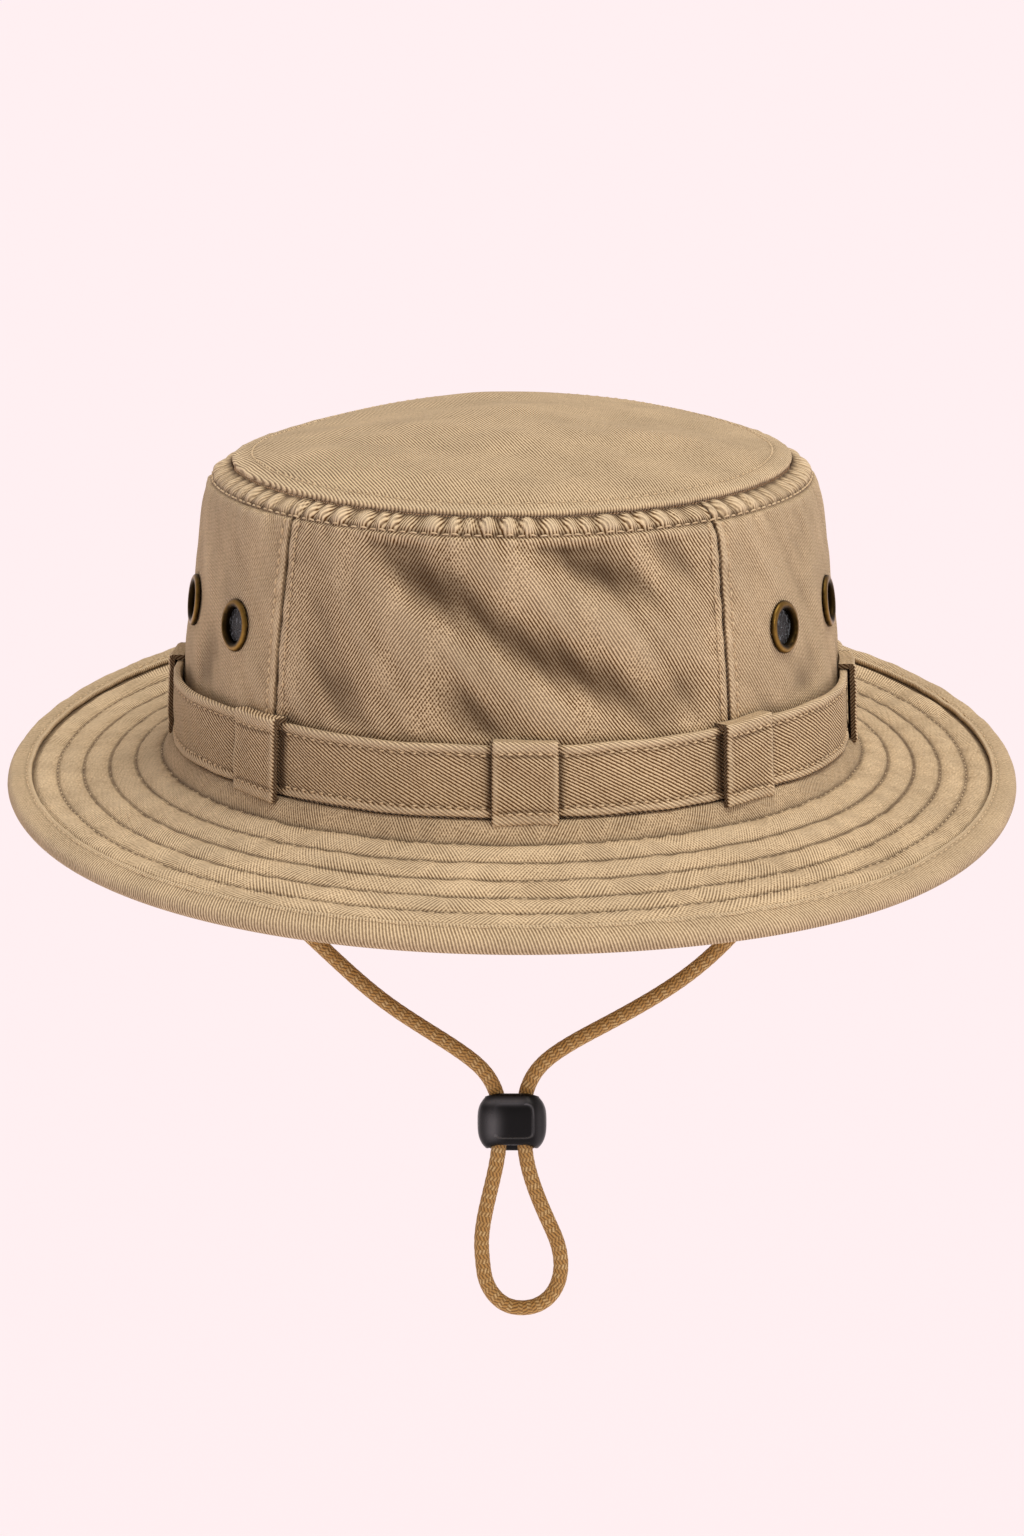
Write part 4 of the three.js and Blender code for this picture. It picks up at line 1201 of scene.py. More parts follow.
@dataclass
class Brim:
    """The brim: puffed channels between stitch rows, and a tape folded over the raw edge."""

    form: HatForm
    stitches: Stitches
    first_row: float = 6.0
    row_pitch: float = 7.0
    row_count: int = 5
    thin: float = 1.6
    puff: float = 0.85
    tape_width: float = 6.6
    tape_wall: float = 1.0
    columns: int = 600

    def rows(self) -> Array:
        """Distances of the stitch rows out from the crown: the first, and a pitch for each after it."""
        return self.first_row + self.row_pitch * np.arange(self.row_count)

    def top_lift(self, t: Array, out: Array) -> Array:
        """Height of the upper face over the middle surface.

        Between two stitch rows it swells as a power of half a sine wave. Short radial puckers run out
        from each row, and slow ripples vary the puff.

        Args:
            t: Angles.
            out: Distances out from the crown.

        Returns:
            The heights.
        """
        edges = np.concatenate([[0.3], self.rows(), [self.form.brim_width - self.tape_width + 0.6]])
        k = np.clip(np.searchsorted(edges, out, side="right") - 1, 0, len(edges) - 2)
        share = np.clip((out - edges[k]) / (edges[k + 1] - edges[k]), 0, 1)
        spot = self.form.brim_point(t, out, 0.0)
        swell = np.sin(np.pi * share) ** 0.62
        puff = self.puff * (1 + 0.16 * ripples(spot, 26, 51))
        round_way = spot / np.linalg.norm(spot[..., :2], axis=-1, keepdims=True) * 110
        pucker = ripples(round_way, 4.6, 52, 12) * 0.13 * (1 - swell) ** 0.6 + ripples(spot, 9, 53) * 0.07
        return self.thin / 2 + puff * swell + pucker

    def cloth(self) -> bpy.types.Object:
        """Builds the quilted brim: a ring whose section is the upper face, the raw edge and the underside.

        Returns:
            The object.
        """
        form = self.form
        raw = form.brim_width - self.tape_wall - 0.6
        t = np.arange(self.columns) * 360 / self.columns + 180
        out = np.concatenate([np.linspace(0.3, 3, 5)[:-1], np.linspace(3, raw, 88)])
        under = np.linspace(raw, 0.3, 24)
        grid_t, grid_out = np.meshgrid(t, out)
        lift = self.top_lift(grid_t, grid_out)
        lift = np.where(grid_out > raw - 6, np.minimum(lift, self.thin / 2 + 0.05), lift)
        foot = 0.1 - form.brim_height(grid_t, grid_out)
        lift = lift + (foot - lift) * (1 - smooth(2.4, 6.2, grid_out))
        below_t, below_out = np.meshgrid(t, under)
        below = -(self.top_lift(below_t, below_out) - self.thin / 2) * 0.45 - self.thin / 2
        below = np.where(below_out > raw - 6, -self.thin / 2, below)
        below = below + 2.2 * (1 - smooth(1.5, 6.0, below_out))
        sections = np.concatenate([form.brim_point(grid_t, grid_out, lift),
                                   form.brim_point(below_t, below_out, below)])
        # Painted shade in each channel's low parts, on the underside and along the stitch rows' grooves and
        # the tape's edge, with a painted shadow next to the band. The right side is a little darker,
        # painted shade. The puffs' tops are paler, a painted highlight.
        slack = np.where(grid_out > 6, self.thin / 2 + self.puff - lift, 0.6)
        depth = np.concatenate([slack, 0.8 + 0 * below]) / self.puff
        reach = np.concatenate([out, under])[:, None]
        row_line = sum(bell(reach - row, 0.3) for row in self.rows())
        row_line = row_line + bell(reach - form.brim_width + self.tape_width + 0.15, 0.35)
        band_and_side_shade = 0.42 * bell(reach, 1.9) + 0.16 * bell(angle_gap(t, 92), 34)
        painted_shade = np.clip(0.5 * (depth - 0.55) + 0.9 * row_line + band_and_side_shade, -0.4, 0.95)
        opened = np.concatenate([t, [t[0] + 360]])
        profile = sections[:, self.columns // 2]
        run = np.concatenate([[0], np.cumsum(np.linalg.norm(np.diff(profile, axis=0), axis=1))])
        along, up = np.meshgrid(form.arc(opened - 360) * 1.22, -np.append(run, run[-1] + 1))
        turned = np.clip(0.5 + 0.55 * ripples(sections, 11, 55, 14), 0, 1)
        return swept_piece("quilted_brim_cloth", sections, weave_lines(along, up, 58, Slant.DOWN_RIGHT),
                           {"painted_shade": painted_shade, "turned": turned}, flip=True)

    def binding(self) -> bpy.types.Object:
        """Builds the folded tape: a ring whose section runs round the raw edge and back inside.

        Returns:
            The object.
        """
        form = self.form
        lip = form.brim_width - self.tape_width
        inside = self.thin / 2 + 0.25
        face = inside + self.tape_wall
        turn = np.linspace(0, np.pi, 13)
        nose = form.brim_width - face * 0.9
        out = np.concatenate([
            lip + np.array([0.25, 0, 0.1, 0.45, 0.9, 1.5, 2.4, 3.4]), nose + face * 0.9 * np.sin(turn),
            lip + np.array([3.4, 1.8, 0.5, 0]), lip + np.array([0, 2, 4.2]),
            [form.brim_width - self.tape_wall - 0.2], lip + np.array([4.2, 2]),
        ])
        lift = np.concatenate([
            [inside, inside + 0.45],
            face + np.array([0.25, 0.42, 0.3, 0.3, 0.32, 0.22]),
            face * np.cos(turn), -face * np.ones(4) - np.array([0.1, 0.15, 0.1, 0]),
            -inside * np.ones(3), [0.0], inside * np.ones(2),
        ])
        t = np.arange(self.columns) * 360 / self.columns + 180
        grid_t, grid_out = np.meshgrid(t, out)
        spot = form.brim_point(grid_t, grid_out, 0.0)
        upper = (lift > 0)[:, None]
        wave = ripples(spot, 11, 61) * 0.12 + ripples(spot, 4, 62) * 0.05
        grid_lift = lift[:, None] + wave * upper
        sections = form.brim_point(grid_t, grid_out, grid_lift)
        opened = np.concatenate([t, [t[0] + 360]])
        run = np.concatenate([[0], np.cumsum(np.hypot(np.diff(out), np.diff(lift)))])
        run = np.concatenate([run, [run[-1] + 1]])
        along, up = np.meshgrid(form.arc(opened - 360) * 1.45, -run)
        # Painted shade where the tape's edge meets the brim and along its stitch row, and a painted
        # highlight along the crest of its fold. The turn round the rim is a little paler, a painted
        # highlight.
        mark = np.array([0.9, 0.5, -0.3, -0.7, -0.2, 0.35, 0, 0])
        painted_shade = np.zeros(grid_t.shape)
        painted_shade[:8] = mark[:, None]
        painted_shade[8:14] = -0.15
        return swept_piece("binding_tape", sections, weave_lines(along, up, 72, Slant.DOWN_RIGHT),
                           {"painted_shade": painted_shade}, flip=True)

    def stitching(self) -> bpy.types.Object:
        """Sews the brim's rows: each lies at the foot of its groove.

        Returns:
            The object.
        """
        t = np.linspace(-180, 180, 2400)
        rows = []
        for k, out in enumerate(self.rows()):
            reach = np.full(t.shape, out)
            path = self.form.brim_point(t, reach, self.top_lift(t, reach))
            beside = self.form.brim_point(t, reach + 0.5, self.thin / 2)
            flow = np.gradient(path, axis=0)
            up = unit(np.cross(flow, beside - self.form.brim_point(t, reach, self.thin / 2)))
            up = up * np.sign(up[:, 2:])
            rows.append(self.stitches.row(path, up, 3.3, 0.72, 0.02, 70 + k))
        reach = np.full(t.shape, self.form.brim_width - self.tape_width + 1.5)
        path = self.form.brim_point(t, reach, self.thin / 2 + self.tape_wall + 0.5)
        up = np.broadcast_to(np.array([0, 0, 1.0]), path.shape)
        rows.append(self.stitches.row(path, up, 3.3, 0.72, 0.06, 79))
        return self.stitches.piece("brim_stitching", rows)

    def build(
        self, twill: bpy.types.Material, tape: bpy.types.Material, thread: bpy.types.Material,
    ) -> list[bpy.types.Object]:
        """Builds and dresses the brim.

        Args:
            twill: Material of the quilted cloth.
            tape: Material of the binding.
            thread: Material of the stitches.

        Returns:
            The pieces.
        """
        return [
            dress(self.cloth(), twill, "twill", "brim_quilted"),
            dress(self.binding(), tape, "twill_trim", "brim_binding"),
            dress(self.stitching(), thread, "twill_trim"),
        ]


@dataclass
class HatBand:
    """The cloth band round the crown and the eight cloth loops that carry it."""

    form: HatForm
    stitches: Stitches
    low: float = 0.8
    gap: float = 0.5
    cloth: float = 1.6
    underlap: float = 0.5
    slack: float = 2.2
    loop_cloth: float = 1.3
    loop_width: float = 18.0
    loop_lift: float = 1.4
    clearance: float = 0.3
    columns: int = 640

    names: ClassVar[list[str]] = [
        "front", "front_right", "right", "back_right", "back", "back_left", "left", "front_left",
    ]
    # Angle in degrees, then shares: width, start lift, end lift, slack of the band after the loop
    loops: ClassVar[Array] = np.array([
        [2.1, .91, .1, .1, .35], [41.5, 1.02, .9, 0, 1], [87, 1, .6, .2, .8], [132, 1, .2, .3, .6],
        [177, .95, .2, .2, .5], [222, 1, .3, .2, .8], [267, 1, .2, .4, 1], [313.9, 1.01, 0, 1, .4],
    ])

    def spans(self) -> tuple[Array, Array]:
        """First and last angle of each loop: its angle less and plus half its width on the oval."""
        arc = self.form.arc(self.loops[:, 0])
        half = self.loops[:, 1] * self.loop_width / 2
        return self.form.angle_at(arc - half), self.form.angle_at(arc + half)

    def stand_off(self, t: Array) -> Array:
        """How far the band stands off the crown: half a sine wave between each two loops.

        Args:
            t: Angles.

        Returns:
            The distances.
        """
        starts, ends = self.spans()
        off = np.zeros(t.shape)
        following = np.append(starts[1:], starts[0] + 360)
        for k in range(len(starts)):
            for turn in (-360, 0, 360):
                share = np.clip((t + turn - ends[k]) / (following[k] - ends[k]), 0, 1)
                off = off + np.sin(np.pi * share) * self.loops[k, 4] * self.slack
        return off

    def band(self) -> bpy.types.Object:
        """Builds the band: a ring whose section is a folded strip with a second fold under its lower edge.

        Returns:
            The object.
        """
        form = self.form
        high = form.band_high
        wall = self.cloth
        face = np.linspace(self.low + 0.5, high - 0.5, 30)
        out = np.concatenate([
            [0, 0.25, self.underlap + 0.1, self.underlap + 0.1],
            [wall - 0.5, wall - 0.1], np.full(30, wall),
            [wall - 0.15, wall - 0.55, 0.3, 0], [0, 0],
        ])
        z = np.concatenate([
            [0.25, 0, 0.15, self.low - 0.1], [self.low, self.low + 0.12], face,
            [high - 0.12, high, high, high - 0.2], [high * 0.66, high * 0.33],
        ])
        t = np.arange(self.columns) * 360 / self.columns
        grid_t, grid_z = np.meshgrid(t, z)
        spot = form.belt_point(grid_t, grid_z, 0.0)
        off = self.gap + self.stand_off(grid_t) * (0.8 + 0.2 * (grid_z / high))
        edges = bell(grid_z - high + 1.0, 0.8) + bell(grid_z - self.low - 1.0, 0.8)
        seams = bell(grid_z - high + 2.5, 0.35) + bell(grid_z - self.low - 2.4, 0.35)
        front = (out > wall - 0.3)[:, None]
        bulge = 0.26 * edges - 0.2 * seams + 0.14 * ripples(spot, 12, 81) + 0.07 * ripples(spot, 5, 82)
        wave = 0.25 * ripples(spot * np.array([1, 1, 0.2]), 30, 83)
        wavy_z = grid_z + 0.16 * ripples(spot, 14, 84)
        sections = form.belt_point(grid_t, wavy_z, off + out[:, None] + bulge * front)
        sections[..., :2] *= 1 + (wave * front * 0.002)[..., None]
        opened = np.append(t, 360.0)
        run = np.concatenate([[0], np.cumsum(np.hypot(np.diff(out), np.diff(z)))])
        along, up = np.meshgrid(form.arc(opened), np.append(run, run[-1] + 1))
        starts, ends = self.spans()
        gap = np.full(grid_t.shape, 99.0)
        for k in range(len(starts)):
            away = np.abs(angle_gap(grid_t, (starts[k] + ends[k]) / 2)) - (ends[k] - starts[k]) / 2
            gap = np.minimum(gap, np.abs(away) * 1.6)
        # Painted shade in the gaps beside the loops, along the stitch rows and under the lower fold. The
        # rolled edges are paler, a painted highlight.
        beside = 1.2 * bell(gap, 0.95)
        painted_shade = np.clip(0.8 * seams - 0.8 * edges - 0.02, -0.8, 0.7) + 0.7 * (grid_z < self.low) + beside
        return swept_piece("band_cloth", sections, weave_lines(along, up, 30, Slant.DOWN_RIGHT),
                           {"painted_shade": painted_shade})

    def loop(self, k: int) -> bpy.types.Object:
        """Builds one loop: a folded tape that runs over the band, down its face and back under it.

        Its middle line is a path of rounded corners, carried over the loop's width. Both long edges are
        folded, so they swell a little.

        Args:
            k: The loop's row in the table.

        Returns:
            The object.
        """
        form = self.form
        starts, ends = self.spans()
        _, _, start_lift, end_lift, _ = self.loops[k]
        face = self.gap + self.cloth + self.clearance
        low = 0.2
        high = form.band_high - 0.1
        wall = self.loop_cloth
        turn = np.linspace(0, np.pi / 2, 7)[1:-1]
        bend = 0.75
        top_out = np.linspace(0.3, face + wall - bend, 10)
        front_z = np.linspace(high + wall - bend, low - wall + bend, 34)
        out = np.concatenate([top_out, face + wall - bend + bend * np.sin(turn), np.full(34, face + wall),
                              face + wall - bend + bend * np.cos(turn), top_out[::-1]])
        z = np.concatenate([np.full(10, high + wall), high + wall - bend + bend * np.cos(turn), front_z,
                            low - wall + bend - bend * np.sin(turn), np.full(10, low - wall)])
        across = np.linspace(0, 1, 32)
        share, out_grid = np.meshgrid(across, out)
        z_grid = np.broadcast_to(z[:, None], share.shape)
        t = starts[k] + (ends[k] - starts[k]) * share
        lift = self.loop_lift * (start_lift + (end_lift - start_lift) * share)
        lift = lift * smooth(0.5, face, out_grid)
        spot = form.belt_point(t, z_grid, out_grid)
        side = np.minimum(share, 1 - share) * self.loop_width
        fold = 0.3 * bell(side - 1.0, 0.7) - 0.3 * bell(side, 0.4)
        rows = bell(z_grid - high + 2.2, 0.4) + bell(z_grid - low - 2.2, 0.4)
        ends_z = bell(z_grid - high, 1.0) + bell(z_grid - low, 1.0)
        front = smooth(face + wall - 0.9, face + wall - 0.1, out_grid)
        relief = (fold - 0.22 * rows + 0.12 * ends_z + 0.16 * ripples(spot, 8, 91 + k)) * front
        crook = 0.25 * ripples(spot, 20, 101 + k)
        outer = form.belt_point(t, z_grid + crook, out_grid + lift + relief)
        thin_out = np.clip(out_grid - wall * smooth(face - 0.4, face + wall, out_grid), 0.3, None)
        over = smooth(high, high + wall, z_grid)
        under = 1 - smooth(low - wall, low, z_grid)
        thin_z = z_grid - wall * over + wall * under
        inner = form.belt_point(t, thin_z + crook, thin_out + lift)
        faces, _ = grid_faces(*share.shape, False, False)
        run = np.concatenate([[0], np.cumsum(np.hypot(np.diff(out), np.diff(z)))])
        along, up = np.meshgrid(across * self.loop_width, -run)
        weave = weave_lines(along, up, 35, Slant.DOWN_RIGHT)
        # Painted shade along the stitch rows, on the underside and on both side edges. The folded long
        # edges and the bends at the ends are paler, a painted highlight.
        edge = 0.7 * bell(side - 0.8, 0.6) + 0.7 * ends_z
        painted_shade = np.clip(0.75 * rows * front - edge * front, -0.85, 0.7)
        painted_shade = painted_shade + 0.8 * (1 - smooth(low - wall, low - wall + 0.5, z_grid))
        painted_shade[:, [0, -1]] = 0.95
        return walled_piece(f"loop_tape_{self.names[k]}", outer.reshape(-1, 3), inner.reshape(-1, 3),
                            faces[:, ::-1], weave, {"painted_shade": painted_shade})

    def stitching(self) -> bpy.types.Object:
        """Sews the band's two edges between the loops and each loop's face near its two ends.

        Returns:
            The object.
        """
        form = self.form
        rows = []
        starts, ends = self.spans()
        following = np.append(starts[1:], starts[0] + 360)
        for k in range(len(starts)):
            t = np.linspace(ends[k] + 0.3, following[k] - 0.3, 160)
            for level in (form.band_high - 2.5, self.low + 2.4):
                z = np.full(t.shape, level)
                out = self.gap + self.stand_off(t) * (0.8 + 0.2 * (z / form.band_high)) + self.cloth - 0.15
                path = form.belt_point(t, z + 0.16 * ripples(form.belt_point(t, z, 0.0), 14, 84), out)
                rows.append(self.stitches.row(path, form.wall_normal(t, z), 2.9, 0.6, 0.16, 110 + k))
            share = np.linspace(0.07, 0.93, 40)
            t = starts[k] + (ends[k] - starts[k]) * share
            lift = self.loop_lift * (self.loops[k, 2] + (self.loops[k, 3] - self.loops[k, 2]) * share)
            for level in (form.band_high - 1.9, 1.9):
                z = np.full(t.shape, level)
                out = self.gap + self.cloth + self.clearance + self.loop_cloth + lift - 0.1
                spot = form.belt_point(t, z, out)
                crook = 0.25 * ripples(spot, 20, 101 + k)
                path = form.belt_point(t, z + crook, out + 0.16 * ripples(spot, 8, 91 + k))
                rows.append(self.stitches.row(path, form.wall_normal(t, z), 2.4, 0.68, 0.08, 130 + k))
        return self.stitches.piece("band_stitching", rows)

    def build(
        self, twill: bpy.types.Material, tape: bpy.types.Material, thread: bpy.types.Material,
    ) -> list[bpy.types.Object]:
        """Builds and dresses the band and its loops.

        Args:
            twill: Material of the band.
            tape: Material of the loops.
            thread: Material of the stitches.

        Returns:
            The pieces.
        """
        made = [dress(self.band(), twill, "twill", "hat_band")]
        for k, name in enumerate(self.names):
            made.append(dress(self.loop(k), tape, "twill_trim", f"band_loop_{name}"))
        made.append(dress(self.stitching(), thread, "twill_trim"))
        return made


@dataclass
class Vents:
    """The brass eyelets, each with a disc of knit mesh behind its bore."""

    crown: Crown
    radius: float = 6.9
    bore: float = 4.6
    barrel: float = 5.0
    seat: float = 0.25
    roll: float = 1.15
    mesh_radius: float = 4.5
    mesh_thickness: float = 0.5

    def placed(self, profile: Array, name: str, angle: float, columns: int) -> tuple[Array, Array]:
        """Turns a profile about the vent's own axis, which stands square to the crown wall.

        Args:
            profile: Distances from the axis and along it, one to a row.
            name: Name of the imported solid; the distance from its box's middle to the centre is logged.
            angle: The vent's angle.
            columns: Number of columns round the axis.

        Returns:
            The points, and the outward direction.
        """
        form = self.crown.form
        height = self.crown.vent_height
        t = np.array([angle])
        z = np.array([height])
        out = form.wall_normal(t, z)[0]
        centre = form.wall_point(t, z, -self.crown.folds(t, z))[0]
        aside = unit(np.cross(np.array([0, 0, 1.0]), out))
        up = np.cross(out, aside)
        turn = np.arange(columns) * TAU / columns
        ring = aside * np.cos(turn)[:, None] + up * np.sin(turn)[:, None]
        low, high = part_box(name)
        middle = np.array((low + high) / 2) / MM
        log.debug("%s: %.2f mm from its solid", name, np.linalg.norm(middle - centre))
        points = centre + ring[None] * profile[:, 0, None, None] + out * profile[:, 1, None, None]
        return points, out

    def eyelet(self, name: str, angle: float) -> bpy.types.Object:
        """Builds an eyelet: a ring whose section is the rolled rim, the barrel and the flange behind.

        Args:
            name: The vent's name.
            angle: The vent's angle.

        Returns:
            The object.
        """
        wall = self.crown.form.cloth_wall
        turn = np.linspace(0, np.pi, 15)
        middle = (self.bore + self.radius) / 2
        half = (self.radius - self.bore) / 2
        rim_r = middle + half * np.cos(turn)
        rim_y = self.seat + self.roll * np.sin(turn) ** 0.8
        behind = -wall - 0.6
        profile = np.concatenate([
            np.stack([rim_r, rim_y], -1),
            [[self.bore + 0.05, -0.1], [self.bore, -0.6], [self.bore, behind],
             [self.bore + 0.1, behind - 0.4], [self.bore + 0.5, behind - 0.55],
             [self.radius - 1.2, behind - 0.5], [self.radius - 0.6, behind - 0.3],
             [self.radius - 0.6, behind], [self.barrel + 0.1, behind], [self.barrel, behind + 0.1],
             [self.barrel, self.seat - 0.1], [self.barrel + 0.1, self.seat],
             [self.radius - 0.1, self.seat - 0.02]],
        ])
        columns = 72
        points, _ = self.placed(profile, f"eyelet_{name}", angle, columns)
        wear = np.zeros(len(profile))
        wear[:15] = 0.15 + 0.75 * bell(turn - 1.15, 0.42)
        wear[12:15] = 0.0
        wear = np.repeat(wear[:, None], columns, 1)
        zeros = np.zeros((len(profile) + 1, columns + 1, 2))
        return swept_piece(f"eyelet_brass_{name}", points, zeros, {"wear": wear})

    def mesh(self, name: str, angle: float) -> bpy.types.Object:
        """Builds the knit disc: rings out from its middle, slightly domed, closed behind.

        Args:
            name: The vent's name.
            angle: The vent's angle.

        Returns:
            The object.
        """
        reach = np.linspace(0.25, 1, 12) * self.mesh_radius
        top = -0.28 + 0.3 * (1 - (reach / self.mesh_radius) ** 2)
        profile = np.concatenate([
            np.stack([reach, top], -1), np.stack([reach[::-1], top[::-1] - self.mesh_thickness], -1),
        ])
        columns = 48
        points, _ = self.placed(profile, f"vent_mesh_{name}", angle, columns)
        quads, _ = grid_faces(len(profile), columns, False, True)
        ring = np.arange(columns)[None, :]
        last = (len(profile) - 1) * columns + ring
        kinds = [quads[:, ::-1], ring, last[:, ::-1]]
        return make_piece(f"vent_knit_{name}", points, kinds)

    def build(self, brass: bpy.types.Material, knit: bpy.types.Material) -> list[bpy.types.Object]:
        """Builds and dresses the vents.

        Args:
            brass: Material of the eyelets.
            knit: Material of the discs.

        Returns:
            The pieces.
        """
        made = []
        for name, angle in self.crown.vents.items():
            made.append(dress(self.eyelet(name, angle), brass, "antique_brass", f"eyelet_{name}"))
            made.append(dress(self.mesh(name, angle), knit, "black_mesh", f"vent_mesh_{name}"))
        return made


@dataclass
class ChinCord:
    """The braided chin cord with its lock, and the folded tabs that hold its two ends."""

    form: HatForm
    diameter: float = 4.2
    strands: int = 12
    cell_length: float = 2.7
    relief: float = 0.2
    step: float = 0.33
    sides: int = 48
    lock_half_width: float = 9.5
    lock_half_depth: float = 6.5
    lock_half_height: float = 8.0
    lock_centre: float = -111.3
    lock_columns: int = 144
    lock_tilt: float = 44.0
    level_power: float = 2.9
    upright_power: float = 2.7
    slot_half_length: float = 6.5
    slot_half_depth: float = 2.7

    # Across, forward and height of the route's points, from the left tab round the loop to the right one
    route: ClassVar[Array] = np.array([
        [-83.9, 0, -9.3], [-82.9, 0, -18.6], [-79.6, 0, -28.0], [-74.6, 0, -36.5], [-67.6, 0, -45.5],
        [-52.7, 0, -60.8], [-34.6, 0, -77.3], [-22.2, 0, -85.9], [-13.4, 0, -91.9], [-7.4, 0, -97.4],
        [-4.1, 0, -104.0], [-3.3, 0, -112.0], [-3.9, 0, -121.0], [-5.9, 0, -131.0], [-7.8, -0.4, -140.0],
        [-8.4, -0.8, -146.0], [-8.1, -1.1, -151.6], [-7.3, -1.3, -156.6], [-4.9, -1.5, -161.2],
        [-1.6, -1.6, -163.9], [2.8, -1.7, -164.8], [7.2, -1.6, -163.9], [10.7, -1.5, -161.2],
        [13.0, -1.3, -156.6], [13.5, -1.1, -151.7], [12.6, -0.8, -146.4], [10.2, -0.5, -140.4],
        [6.6, -0.3, -131.5], [3.9, 0, -121.5], [3.3, 0, -112.0], [3.7, 0, -104.0], [6.9, 0, -96.7],
        [14.2, 0, -90.3], [25.0, 0, -84.0], [36.8, 0, -77.2], [48.2, 0, -69.4], [66.0, 0, -51.0],
        [77.2, 0, -33.0], [82.6, 0, -18.6], [83.9, 0, -9.3],
    ])

    def cord(self) -> tuple[bpy.types.Object, Array]:
        """Builds the cord: a round section carried along the route, with its braid in relief.

        Two families of strands wind round the cord in opposite ways. Where the product of their two
        cosines is positive the first family lies on top, and elsewhere the second one does.

        Returns:
            The object, and the points of its middle line.
        """
        line = smooth_line(self.route, self.step)
        ahead = unit(np.gradient(line, axis=0))
        aside = unit(np.cross(ahead, np.array([0, 1.0, 0])))
        forward = np.cross(aside, ahead)
        turn = np.arange(self.sides) * TAU / self.sides
        run = np.arange(len(line)) * self.step
        grid_turn, grid_run = np.meshgrid(turn, run, indexing="ij")
        round_way = self.strands * grid_turn
        first = (round_way + TAU * grid_run / self.cell_length) / 2
        second = (round_way - TAU * grid_run / self.cell_length) / 2
        over = np.sin(first) * np.sin(second)
        crest = np.where(over > 0, np.abs(np.sin(first)), np.abs(np.sin(second))) ** 0.8
        spot = np.stack([grid_turn * 2, grid_run, 0 * grid_run], -1)
        fleck = smooth(0.75, 1.0, crest) * np.clip(0.62 + 0.5 * ripples(spot, 2.2, 141), 0, 1) * (over > 0)
        radius = self.diameter / 2 - self.relief + self.relief * crest
        ring = aside[None] * np.cos(turn)[:, None, None] + forward[None] * np.sin(turn)[:, None, None]
        points = line[None] + ring * radius[..., None]
        weave = np.zeros((self.sides + 1, len(line), 2))
        # The crest value also sets the painted shade in the braid's grooves.
        made = swept_piece("chin_cord_braid", points, weave, {"crest": crest ** 1.4, "fleck": 0.8 * fleck},
                           round_columns=False)
        return made, line

    def lock(self) -> bpy.types.Object:
        """Builds the lock: a rounded barrel turned into a ring by the slot that both strands pass through.

        The outside is a superellipse both level and upright, the slot is a stadium, and the face has a
        shallow sunk panel with round corners. The heights are then scaled: the face's foot rises in an
        arch over the strands, and the top slopes down to the back.

        Returns:
            The object.
        """
        columns = self.lock_columns
        turn = np.arange(columns) * TAU / columns
        sine, cosine = np.sin(turn), np.cos(turn)
        power = self.level_power
        level = (np.abs(sine) ** power + np.abs(cosine) ** power) ** (-1 / power)
        tilt = np.linspace(-1, 1, 64) * np.radians(self.lock_tilt)
        power = self.upright_power
        side = (np.abs(np.cos(tilt)) ** power + np.abs(np.sin(tilt)) ** power) ** (-1 / power)
        wide = np.cos(tilt) * side
        high = np.sin(tilt) * side * 0.965 / (np.sin(tilt[-1]) * side[-1])
        outer = np.stack([
            np.outer(wide, level * sine) * self.lock_half_width,
            np.outer(wide, -level * cosine) * self.lock_half_depth,
            np.outer(high, np.ones(columns)) * self.lock_half_height,
        ], -1)
        x, z = outer[..., 0], outer[..., 2]
        front = outer[..., 1] < -0.6 * self.lock_half_depth
        box = np.maximum(np.abs(x - 0.5) / 5.3, np.abs(z - 1.2) / 4.6)
        round_box = (np.abs((x - 0.5) / 5.3) ** 6 + np.abs((z - 1.2) / 4.6) ** 6) ** (1 / 6)
        sink = 0.42 * (1 - smooth(0.94, 1.03, 0.3 * box + 0.7 * round_box))
        outer[..., 1] += sink * front
        run = self.slot_half_length - self.slot_half_depth
        slot = np.stack([self.slot_half_depth * sine + run * np.sign(sine) * np.abs(sine) ** 0.35,
                         -self.slot_half_depth * cosine], -1)
        top = high[-1] * self.lock_half_height
        depth = np.array([1.0, 0.985, 0.93, 0.5, 0.0, -0.5, -0.93, -0.985, -1.0]) * (top - 0.15)
        flare = 1 + 0.16 * (np.abs(depth) / top) ** 14
        inner = np.concatenate([slot[None] * flare[:, None, None],
                                np.broadcast_to(depth[:, None, None], (9, columns, 1))], -1)
        mix = np.array([0.15, 0.4, 0.7, 0.93])[:, None, None]
        rise = np.array([0.17, 0.27, 0.25, 0.1])[:, None]
        above = outer[-1] * (1 - mix) + inner[0] * mix
        above[..., 2] = top + rise
        below = outer[0] * (1 - mix) + inner[-1] * mix
        below[..., 2] = -top - rise
        sections = np.concatenate([outer, above, inner, below[::-1]])
        x, y, z = np.moveaxis(sections, -1, 0)
        share = np.abs(z) / self.lock_half_height
        arch = smooth(8.4, 3.6, np.abs(x)) * smooth(0.5, -4.5, y)
        round_end = 1 - 0.17 * smooth(3.5, 9.6, np.abs(x)) * share
        raised = 1 + 0.14 * smooth(1.0, -4.0, y) - 0.27 * smooth(-1.5, 6.5, y)
        lowered = 1.04 - 0.36 * arch * share + 0.2 * smooth(0.0, 5.0, y) * share
